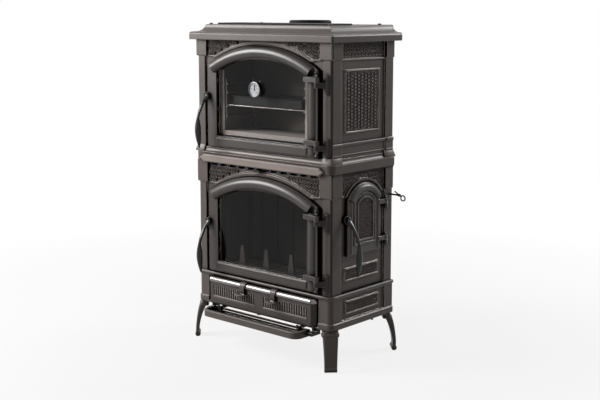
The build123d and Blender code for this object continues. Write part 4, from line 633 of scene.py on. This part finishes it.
# %% One ring with its bud
def ring_and_bud():
    """One unit about 1 across, lying in X and Y and rising along Z."""
    clear()
    bpy.ops.mesh.primitive_torus_add(major_segments=12, minor_segments=5, major_radius=0.36,
                                     minor_radius=0.13, location=(0, 0, 0))
    ring = bpy.context.object
    edit(ring)
    bpy.ops.transform.resize(value=(1.0, 1.12, 1.3))
    done()
    clear()
    bpy.ops.mesh.primitive_cone_add(vertices=6, radius1=0.2, radius2=0.10, depth=0.10,
                                    location=(0, 0, 0.02))
    bud = bpy.context.object
    edit(bud)
    bpy.ops.transform.resize(value=(0.8, 1.35, 1.0))
    done()
    edit(bud, lambda face: face.normal.z > 0.9)
    bpy.ops.mesh.inset(thickness=0.02)
    bpy.ops.transform.translate(value=(0, 0, 0.02))
    done()
    return join([ring, bud])


RING = ring_and_bud()
print("faces in one ring:", len(RING.data.polygons))

# %% [markdown]
# A field of ornament lies on a wall, so it needs a frame of its own: across, up and out.
# Each ring could be placed in the world's own axes, but then every field would repeat the
# same turns. Three such frames cover the stove, one for the front and one for each side.

# %% Walls
def wall(across, out, spot):
    """A matrix whose X runs across the wall, Y up it and Z out of it."""
    frame_of = Matrix((across, (0, 0, 1), out)).transposed().to_4x4()
    return Matrix.Translation(spot) @ frame_of


FRONT_WALL = wall((1, 0, 0), (0, -1, 0), (CENTRE, PANEL, 0))


def right_wall(out):
    """The right side's wall, at a depth outside the corner posts' faces."""
    return wall((0, 1, 0), (1, 0, 0), (SIDE + out, 0, 0))


def left_wall(out):
    """The left side's wall, at a depth outside the corner posts' faces."""
    return wall((0, -1, 0), (-1, 0, 0), (2 * CENTRE - SIDE - out, 0, 0))


RIGHT_WALL, LEFT_WALL = right_wall(-PANEL_IN), left_wall(-PANEL_IN)
print("walls face", [[round(v) for v in place.col[2].xyz]
                     for place in (FRONT_WALL, RIGHT_WALL, LEFT_WALL)])

# %% [markdown]
# The rings stand in close rows, and every other row is shifted by half a ring, as bricks
# are. An array modifier makes straight rows only and can't leave out a ring, so the spots
# are worked out first, thinned where something is in the way, and then filled.

# %% Fields of rings
def at(u, v, out=0.0):
    """A step across, up and out of a wall."""
    return Matrix.Translation((u, v, out))


def field(name, place, spots, size, body="stove"):
    """Copies the ring to every (across, up) spot of a wall; size is width, height, depth."""
    shape = Matrix.Diagonal((*size, 1))
    rings = [copy_of(RING, place @ at(u, v) @ shape) for u, v in spots]
    return finish(join(rings), name, "ornament_paint", body, "cast_iron_body", 50)


def rows(u0, u1, v0, v1, step_u, step_v):
    """Spots in rows, every other row shifted by half a step."""
    spots = []
    count_v = int((v1 - v0) / step_v + 0.5)
    for j in range(count_v):
        v = (v0 + v1) / 2 + (j - (count_v - 1) / 2) * step_v
        count_u = int((u1 - u0) / step_u + 0.5) - j % 2
        for i in range(count_u):
            spots.append(((u0 + u1) / 2 + (i - (count_u - 1) / 2) * step_u, v))
    return spots


print("a test field:", len(rows(0, 0.1, 0, 0.1, 0.02, 0.02)), "spots")

# %% [markdown]
# The spandrels are the corners above each door's arch, filled with rings down to the
# arch's ridge. The rings could be cut off along the ridge, but a half ring looks torn.
# The ridge is an arc of a circle, so a ring is kept only where it clears that circle.

# %% Spandrels over the doors
DOOR_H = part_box("oven_door")[1].z - OVEN_LEVEL
SPANDREL_HALF = 0.296                       # from the centre line to a corner post
SPANDREL_RING, SPANDREL_STEP = (0.0142, 0.0148, 0.023), (0.0145, 0.0150)
spandrel_wall = FRONT_WALL @ at(0, 0, 0.0022)
RIDGE_HALF, RIDGE_RISE, RIDGE_ROOM = 0.270, 0.074, 0.0045
RIDGE_R = (RIDGE_HALF ** 2 + RIDGE_RISE ** 2) / (2 * RIDGE_RISE)
for name, level, top in (("upper_spandrels", OVEN_LEVEL, upper_high.z - 0.002),
                         ("lower_spandrels", FIRE_LEVEL, FIRE_LEVEL + DOOR_H + 0.019)):
    crown = level + DOOR_H + 0.022
    low = level + DOOR_H - 0.042
    spots = [(u, v) for u, v in rows(-SPANDREL_HALF, SPANDREL_HALF, low, top, *SPANDREL_STEP)
             if sqrt(u * u + (v - crown + RIDGE_R) ** 2) > RIDGE_R + RIDGE_ROOM]
    field(name, spandrel_wall, spots, SPANDREL_RING)

# %% [markdown]
# The side walls have a frieze at the same height, and a tall framed panel below it. The
# panel's rings are wider than they are high and overlap like scales. The same rows would
# leave gaps, so here it is every other column that stands half a ring higher.

# %% Side friezes and framed panels
SIDE_MIDDLE = (POST_FACE + BACK) / 2
near_post, far_post = POST_FACE + 0.058, BACK - 0.046    # the posts' inner edges
panel_mid = SIDE_MIDDLE + 0.002
FRIEZE_RING, FRIEZE_STEP = (0.0200, 0.0156, 0.019), (0.0205, 0.0160)
FRIEZE_RIM = 0.004                   # bare metal between the frieze and a post
FRIEZE_BELOW = 0.040                 # how far a frieze reaches below its door's top


def mirrored(spots):
    """The same spots for the left wall, whose across runs to the front."""
    return [(-u, v) for u, v in spots]


def frieze_rows(door_level, top):
    """The spots of a frieze between the posts, beside the top of a door."""
    return rows(near_post + FRIEZE_RIM, far_post - FRIEZE_RIM,
                door_level + DOOR_H - FRIEZE_BELOW, top, *FRIEZE_STEP)


upper_rows = frieze_rows(OVEN_LEVEL, upper_high.z - 0.003)
field("right_upper_frieze", RIGHT_WALL, upper_rows, FRIEZE_RING)
field("left_upper_frieze", LEFT_WALL, mirrored(upper_rows), FRIEZE_RING)

SCALE_RING = (0.0205, 0.0128, 0.020)
COLUMNS, TALL = 9, 16                # scales across the panel and up it
panel_low, panel_high = upper_low.z + 0.101, upper_low.z + 0.318
across, up = 0.0202, (panel_high - panel_low - 0.004) / (TALL + 0.5)
scales = [(panel_mid + (i - COLUMNS // 2) * across,
           panel_low + 0.002 + (k + 0.5 + 0.5 * (i % 2)) * up)
          for i in range(COLUMNS) for k in range(TALL)]
field("right_upper_rings", RIGHT_WALL, scales, SCALE_RING)
field("left_upper_rings", LEFT_WALL, mirrored(scales), SCALE_RING)

# %% [markdown]
# The lower sides have smaller fields: the frieze round the loading door's arch on the
# right, a plain one on the left, and a low framed field under each. A field of its own
# sits on the loading door and rides on it. It keeps clear of the door's arched rim by the
# same test as above, a distance from the middle of an arc.

# %% Lower side fields
side_low, side_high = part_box("side_door")
DOOR_MIDDLE = SIDE_MIDDLE + 0.008
DOOR_RING, LOW_RING = (0.0122, 0.0104, 0.014), (0.0108, 0.0098, 0.013)
BASE_IN = 0.003                      # the base's panels lie less deep
ARCH_RISE, ARCH_HALF = 0.057, 0.101
ARCH_R = (ARCH_HALF ** 2 + ARCH_RISE ** 2) / (2 * ARCH_RISE)
ARCH_CENTRE = side_high.z - ARCH_R


def from_arch(u, v):
    """How far a spot of the side lies from the middle of the loading door's arch."""
    return sqrt((u - DOOR_MIDDLE) ** 2 + (v - ARCH_CENTRE) ** 2)


lower_rows = frieze_rows(FIRE_LEVEL, mantel_low.z - 0.004)
clear_rows = [(u, v) for u, v in lower_rows if from_arch(u, v) > ARCH_R + 0.026]
field("right_lower_frieze", RIGHT_WALL, clear_rows, FRIEZE_RING)
field("left_lower_frieze", LEFT_WALL, mirrored(lower_rows), FRIEZE_RING)

inner_rows = rows(DOOR_MIDDLE - 0.041, DOOR_MIDDLE + 0.041, side_low.z + 0.059,
                  side_high.z - 0.058, 0.0130, 0.0102)
inner_rows = [(u, v) for u, v in inner_rows
              if v < ARCH_CENTRE or from_arch(u, v) < ARCH_R - 0.062]
field("side_door_field", right_wall(0.006), inner_rows, DOOR_RING, body="side_door_body")

for part, low, out in (("lower", lower_low.z + 0.056, -PANEL_IN),
                       ("base", lower_low.z - 0.070, -BASE_IN)):
    spots = rows(panel_mid - 0.096, panel_mid + 0.096, low, low + 0.040, 0.0112, 0.0100)
    field("right_" + part + "_rings", right_wall(out), spots, LOW_RING)
    field("left_" + part + "_rings", left_wall(out), mirrored(spots), LOW_RING)
discard(RING)

# %% [markdown]
# Strips, blocks and bands all begin as a cube that is scaled in edit mode, so that its
# object scale stays 1 and a bevel comes out equally wide on all sides. Their cast edges
# are rounded, which a bevel on chosen edges does.

# %% Blocks and bevels
def block(size, rise=0.0):
    """A block of a size along X, Y and Z, its middle raised along Z."""
    clear()
    bpy.ops.mesh.primitive_cube_add(size=1, location=(0, 0, rise))
    made = bpy.context.object
    edit(made)
    bpy.ops.transform.resize(value=size)
    done()
    return made


def bevel_edges(piece, chosen, offset, segments=2):
    """Bevels the edges chosen by a test."""
    edit(piece, chosen, "EDGE")
    bpy.ops.mesh.bevel(offset=offset, segments=segments, affect="EDGES")
    done()


def bar(length, high, deep, bevel):
    """A bar along X that stands out along Z, its two front edges bevelled."""
    made = block((length, high, deep), deep / 2)
    bevel_edges(made, lambda edge: all(v.co.z > 0 for v in edge.verts)
                and abs(edge.verts[0].co.x - edge.verts[1].co.x) > length / 2, bevel)
    return made


# its default finish is the paler rim finish, a painted highlight
def laid(template, name, spots, body="stove", finish_name="highlight_rim_paint", smooth=35):
    """Copies of a template at a list of matrices, joined as one piece."""
    return finish(join([copy_of(template, place) for place in spots]), name, finish_name, body,
                  "cast_iron_body", smooth)


print("recipes ready:", [step.__name__ for step in (block, bevel_edges, bar, laid)])

# %% [markdown]
# The framed fields have a bevelled fillet along their top and bottom edges, which catches
# the light as a thin pale line, and its paint is paler too, as a painted highlight. It
# could be drawn as a profile and swept, but it is straight, so it is one long bar, made
# once and copied to each frame.

# %% Fillets of the framed fields
FRAME_OUT = 0.004                    # a frame stands out of its panel
fillet = bar(0.198, 0.0042, 0.0040, 0.0018)
for part, low, high, panel_in in (
        ("upper", panel_low - 0.006, panel_high + 0.006, PANEL_IN),
        ("lower", lower_low.z + 0.0535, lower_low.z + 0.0985, PANEL_IN),
        ("base", lower_low.z - 0.0725, lower_low.z - 0.0275, BASE_IN)):
    out = FRAME_OUT - panel_in
    for side, ground, middle in (("right", right_wall(out), panel_mid),
                                 ("left", left_wall(out), -panel_mid)):
        laid(fillet, side + "_" + part + "_fillets",
             [ground @ at(middle, level) for level in (low, high)])
discard(fillet)

# %% [markdown]
# Two beads cross the skirt of each upper side and its posts: a broad one on top and a thin
# one below it. Under the mantel a black strip stands for the shadow under its edge, a
# painted shadow. The posts stand further out than the wall between them, so each line is
# three strips a side.

# %% Beads of the skirt and the painted shadow under the mantel
near_middle, far_middle = (POST_FACE + near_post) / 2, (far_post + BACK) / 2
strips = ((SIDE_MIDDLE + 0.006, far_post - near_post, -0.004),    # between the posts
          (near_middle, 0.052, 0.002), (far_middle, 0.040, 0.002))    # on the posts
for name, level, high, deep, finish_name in (
        ("skirt_top_beads", upper_low.z + 0.0515, 0.0130, 0.0060, "stove_paint"),
        ("skirt_thin_beads", upper_low.z + 0.0135, 0.0050, 0.0040, "stove_paint"),
        # a black strip under the mantel, a painted shadow
        ("mantel_painted_shadow", mantel_low.z - 0.0025, 0.0060, 0.0075, "inner_casting")):
    pieces = []
    for middle, length, out in strips:
        strip = bar(length, high, deep, min(high, deep) * 0.45)
        pieces += [copy_of(strip, right_wall(out) @ at(middle, level)),
                   copy_of(strip, left_wall(out) @ at(-middle, level))]
        discard(strip)
    finish(join(pieces), name, finish_name, "stove", "cast_iron_body", 60)

# %% [markdown]
# The front and side castings meet at the corners in a groove, and a black strip lies in
# it. A dark stripe in the paint would have no depth, so it is a thin rope, turned half way
# between the front and the side.

# %% Black ropes in the corner grooves
GROOVE_OUT, GROOVE_BACK = 0.3478, 0.0059     # from the centre line and the post faces
for name, low, high in (("upper_corner_joints", mantel_high.z + 0.006, upper_high.z - 0.001),
                        ("lower_corner_joints", lower_low.z + 0.001, mantel_low.z - 0.001)):
    rope = bar(0.0052, high - low, 0.0026, 0.0010)
    spots = []
    for across in (-1, 1):
        corner = (CENTRE + across * GROOVE_OUT, POST_FACE + GROOVE_BACK, (low + high) / 2)
        slant = Vector((across, -1, 0)).normalized()
        spots.append(wall(Vector((0, 0, 1)).cross(slant), slant, corner))
    laid(rope, name, spots, finish_name="inner_casting", smooth=30)
    discard(rope)

# %% [markdown]
# The drawer's two sunk fields are filled with short upright reeds in three rows, over a
# sloping ledge. A bump would be flat in the raking light, so each reed is a small rounded
# bar. The reeds slide with the drawer, so they ride on its body.

# %% Reeds on the drawer
drawer_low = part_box("ash_drawer_front")[0]
drawer_face = POST_FACE - 0.017
field_low = drawer_low.z + 0.022
FIELD_OUT = 0.1385                   # from the centre line to the middle of a field
REEDS, REED_STEP, REED_ROW = 18, 0.0124, 0.0130
drawer_wall = wall((1, 0, 0), (0, -1, 0), (CENTRE, drawer_face, 0))
reed = bar(0.0125, 0.0064, 0.0042, 0.0020)
edit(reed)
bpy.ops.transform.rotate(value=radians(90), orient_axis="Z", center_override=(0, 0, 0))
done()
reeds = []
for side in (-1, 1):
    for row in range(3):
        level = field_low + 0.0155 + row * REED_ROW
        reeds += [drawer_wall @ at(side * FIELD_OUT + (i - (REEDS - 1) / 2) * REED_STEP, level)
                  for i in range(REEDS)]
laid(reed, "drawer_reeds", reeds, "drawer_body")
discard(reed)
ledge = bar(0.226, 0.0080, 0.0060, 0.0035)
laid(ledge, "drawer_ledges", [drawer_wall @ at(side * FIELD_OUT, field_low + 0.0042)
                              for side in (-1, 1)], "drawer_body")
discard(ledge)

# %% [markdown]
# ## Small castings and fittings
# The upper corner posts stand on the mantel with flared feet. A foot could be drawn as a
# profile and swept round the post, but only its two outer faces show, so a block's lower
# vertices are pulled out on those faces. The foot of the front right post is made, and
# the other three are its mirror images.

# %% Flared feet of the upper posts
FLARE = 0.009


def flared_foot():
    """A block round a post's foot that spreads at the bottom on its two outer faces."""
    made = block((0.042, 0.060, 0.028))
    edit(made, lambda vert: vert.co.z < 0 and vert.co.x > 0, "VERT")
    bpy.ops.transform.translate(value=(FLARE, 0, 0))
    done()
    edit(made, lambda vert: vert.co.z < 0 and vert.co.y < 0, "VERT")
    bpy.ops.transform.translate(value=(0, -FLARE, 0))
    done()
    bevel_edges(made, lambda edge: edge.calc_face_angle(0) > 0.2, 0.0025)
    return made


foot = flared_foot()
FOOT_OUT = 0.3320                            # from the centre line to a foot's middle
foot_along = (BACK - POST_FACE) / 2 - 0.028  # from the side's middle to a foot's middle
feet = []
for across in (-1, 1):
    for along in (-1, 1):
        place = at(CENTRE + across * FOOT_OUT, SIDE_MIDDLE + along * foot_along,
                   mantel_high.z - 0.0050)
        feet.append(place @ Matrix.Diagonal((across, -along, 1, 1)))
flares = join([copy_of(foot, place) for place in feet])
apply_place(flares)
outward(flares)
finish(flares, "post_feet", "stove_paint", "stove", "cast_iron_body", 35)
discard(foot)

# %% [markdown]
# Each leg wears a low lip round its top, where it meets the base. The leg's own casting is
# curved, but the lip is a plain rounded band, so it is a flat block with round corners,
# turned by 45 degrees with its leg.

# %% Lips round the legs
def lip(thick, wide):
    """A low band, wider than the leg, its edges rounded."""
    made = block((thick, wide, 0.009))
    bevel_edges(made, lambda edge: abs(edge.verts[0].co.z - edge.verts[1].co.z) > 0.005,
                0.010, 4)
    edit(made, lambda face: abs(face.normal.z) > 0.9)
    bpy.ops.mesh.inset(thickness=0.002)
    done()
    bevel_edges(made, lambda edge: edge.calc_face_angle(0) > 1.3, 0.0015)
    return made


band = lip(0.038, 0.068)
LIP_OUT, LIP_ALONG, LIP_BELOW = 0.3405, 0.1745, 0.014
bands = []
for leg in ("leg_front_left", "leg_front_right", "leg_rear_left", "leg_rear_right"):
    low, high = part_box(leg)
    across = 1 if (low.x + high.x) / 2 > CENTRE else -1
    along = 1 if (low.y + high.y) / 2 > SIDE_MIDDLE else -1
    place = at(CENTRE + across * LIP_OUT, SIDE_MIDDLE + along * LIP_ALONG, high.z - LIP_BELOW)
    bands.append(place @ Matrix.Rotation(radians(45) * across * along, 4, "Z"))
laid(band, "leg_lips", bands, finish_name="stove_paint", smooth=50)
discard(band)

# %% [markdown]
# The hinge rods end in small turned knobs. A lathe's work is a profile spun round an axis.
# A curve could be drawn and spun, but a knob has few steps, so a short cylinder's top is
# extruded and scaled again and again: a neck, a ball and a tip.

# %% Knobs on the hinge rods
def turned_up(vertices, radius, steps):
    """A short cylinder that grows upwards; each step is a rise and a scale of the top."""
    clear()
    bpy.ops.mesh.primitive_cylinder_add(vertices=vertices, radius=radius, depth=0.003,
                                        location=(0, 0, 0.0015))
    made = bpy.context.object
    for rise, scale in steps:
        edit(made, lambda face: face.normal.z > 0.9 and face.calc_center_median().z > 0)
        bpy.ops.mesh.extrude_region_move(TRANSFORM_OT_translate={"value": (0, 0, rise)})
        bpy.ops.transform.resize(value=(scale, scale, 1))
        done()
    return made


turned = turned_up(16, 0.0050, ((0.0015, 1.55), (0.0035, 1.12), (0.0035, 0.80), (0.0022, 0.45)))
upside_down = Matrix.Rotation(radians(180), 4, "X")
spots = []
for rod in ("oven_hinge_rod", "fire_hinge_rod"):
    low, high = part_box(rod)
    middle = Vector(((low.x + high.x) / 2, (low.y + high.y) / 2, 0))
    spots.append(Matrix.Translation(middle + Vector((0, 0, high.z - 0.001))))
    spots.append(Matrix.Translation(middle + Vector((0, 0, low.z + 0.001))) @ upside_down)
laid(turned, "hinge_knobs", spots, finish_name="dark_fittings", smooth=60)
discard(turned)

# %% [markdown]
# Four screws with domed heads hold the cornice down. They are flat domes of two steps, so
# the same recipe makes them.

# %% Screws in the cornice
head = turned_up(14, 0.0075, ((0.0014, 0.82), (0.0008, 0.55)))
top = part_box("top_cornice")[1].z
SCREW_OUT, SCREW_ALONG = 0.312, 0.146
screws = [at(CENTRE + across * SCREW_OUT, SIDE_MIDDLE + along * SCREW_ALONG, top)
          for across in (-1, 1) for along in (-1, 1)]
laid(head, "cornice_screws", screws, finish_name="dark_fittings", smooth=60)
discard(head)

# %% [markdown]
# ## The oven's dial
# The thermometer has a pale enamelled plate with a scale: short strokes round the rim and
# a few plain numbers. An image could carry the print, but it would blur close up, so it
# is real, raised by the thickness of ink: the strokes are one small bar copied round a
# circle, and the numbers are text made into a mesh.

# %% Strokes and numbers
plate_low, plate_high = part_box("dial_plate")
plate_middle = (plate_low + plate_high) / 2
dial_wall = wall((1, 0, 0), (0, -1, 0), (plate_middle.x, plate_low.y, plate_middle.z))
SCALE_START, STROKE_TURN, NUMBER_TURN = 225, 9, 54     # in degrees, the scale runs clockwise
STROKE_R, NUMBER_R = 0.0232, 0.0160
stroke = bar(0.0040, 0.0009, 0.0003, 0.0001)
strokes = []
for i in range(31):
    turn = Matrix.Rotation(radians(SCALE_START - i * STROKE_TURN), 4, "Z")
    strokes.append(dial_wall @ turn @ at(STROKE_R, 0))
laid(stroke, "dial_strokes", strokes, "oven_door_body", "dial_print")
discard(stroke)

numbers = []
for i in range(6):
    clear()
    bpy.ops.object.text_add(location=(0, 0, 0))
    number = bpy.context.object
    number.data.body = str(50 + 50 * i)
    number.data.size = 0.0066
    number.data.extrude = 0.0001
    number.data.align_x = "CENTER"
    number.data.align_y = "CENTER"
    bpy.ops.object.convert(target="MESH")
    turn = radians(SCALE_START - i * NUMBER_TURN)
    number.matrix_world = dial_wall @ at(NUMBER_R * cos(turn), NUMBER_R * sin(turn), 0.0001)
    numbers.append(number)
finish(join(numbers), "dial_numbers", "dial_print", "oven_door_body", "dial_white", 0)

# %% [markdown]
# ## Floor, light and camera
# The stove stands on a plain white floor before a white background. If both were lit
# until they looked white, their light would come back and wash the dark paint out. So the
# floor is a middle grey for the light that scatters, and glows white only for rays that
# look at it: from the camera, or from it by way of metal or glass. It is a shade darker
# near the stove.

# %% Floor
def looked_at(tree):
    """1 for rays that look: from the camera, or from it by way of metal or glass."""
    path = node(tree, "LightPath")
    seen = calc(tree, "MAXIMUM", path.outputs["Is Camera Ray"], path.outputs["Is Glossy Ray"])
    seen = calc(tree, "MAXIMUM", seen, path.outputs["Is Transmission Ray"])
    scattered = calc(tree, "GREATER_THAN", path.outputs["Diffuse Depth"], 0.5)
    return calc(tree, "SUBTRACT", seen, scattered, clamp=True)


def white_ground():
    """White to look at, grey to the light."""
    tree, shader, place = paper("pale_floor")
    feed(tree, shader, {"Base Color": grey(0.40), "Roughness": 0.9})
    far = node(tree, "VectorMath", {0: place}, operation="LENGTH")
    fade = span(tree, far.outputs["Value"], 0.9, 2.6, 0.84, 1.0)
    share = calc(tree, "MULTIPLY", looked_at(tree), fade)
    glow = node(tree, "Emission", {"Color": (1, 1, 1, 1), "Strength": 1.0})
    both = node(tree, "MixShader", {0: share, 1: shader.outputs[0], 2: glow.outputs[0]})
    tree.links.new(both.outputs[0], tree.nodes["Material Output"].inputs["Surface"])


clear()
white_ground()
bpy.ops.mesh.primitive_plane_add(size=60, location=(0, 0, 0))
floor = bpy.context.object
floor.name = floor.data.name = "floor"
floor.data.materials.append(FINISH["pale_floor"])
print("floor size", [round(side) for side in floor.dimensions])

# %% [markdown]
# The background is the world's colour. It follows the same rule as the floor: white to
# look at, but nearly black as a source of light, so that the lamps alone model the stove.

# %% Sky
sky = bpy.data.worlds.new("studio")
bpy.context.scene.world = sky
sky.use_nodes = True
air = sky.node_tree
feed(air, air.nodes["Background"], {"Color": (1, 1, 1, 1),
                                    "Strength": span(air, looked_at(air), 0.0, 1.0, 0.03, 1.0)})
print("world:", bpy.context.scene.world.name)

# %% [markdown]
# Small lamps would draw hard shadows between the rings, so the light comes from large
# square softboxes. The main one stands at the front left, a little above the stove, so
# the front is bright and the right side falls into shade. Two at the rear, on the right
# and high up, rake over the right side and the top and draw their mouldings. A very weak
# one on the right keeps the shade from going black.

# %% Softboxes
def softbox(name, spot, aim, size, watts):
    """A square area light that looks at a point."""
    clear()
    bpy.ops.object.light_add(type="AREA", location=spot)
    lamp = bpy.context.object
    lamp.name = lamp.data.name = name
    lamp.rotation_euler = (Vector(aim) - Vector(spot)).to_track_quat("-Z", "Y").to_euler()
    lamp.data.size = size
    lamp.data.energy = watts


MIDDLE = Vector((CENTRE, SIDE_MIDDLE, 0.65))
softbox("front_left_softbox", (-2.0, -1.9, 2.05), MIDDLE, 1.5, 165)
softbox("rear_right_softbox", (1.4, 2.6, 2.3), MIDDLE, 1.0, 62)
softbox("rear_top_softbox", (0.9, 2.2, 3.2), MIDDLE, 1.0, 24)
softbox("right_fill", (3.4, 0.6, 1.3), MIDDLE, 2.0, 1.5)

# %% [markdown]
# The camera stands in front of the stove's right corner, a little above its top, and is
# tilted down. A level camera with a large lens shift would keep the upright edges quite
# parallel, but it frames one view only. Far enough away the edges hardly converge, so a
# small tilt does most of the framing and a small shift the rest.

# %% Camera
TILT_DOWN, TURN = 8, 41.61           # in degrees
clear()
bpy.ops.object.camera_add(location=(2.8516, -3.1708, 1.3475),
                          rotation=(radians(90 - TILT_DOWN), 0, radians(TURN)))
camera = bpy.context.object
camera.data.sensor_width = 36
camera.data.lens = 65.3
camera.data.shift_y = -0.065
bpy.context.scene.camera = camera
bpy.context.scene.view_settings.view_transform = "Standard"
print("camera height", round(camera.location.z, 3))
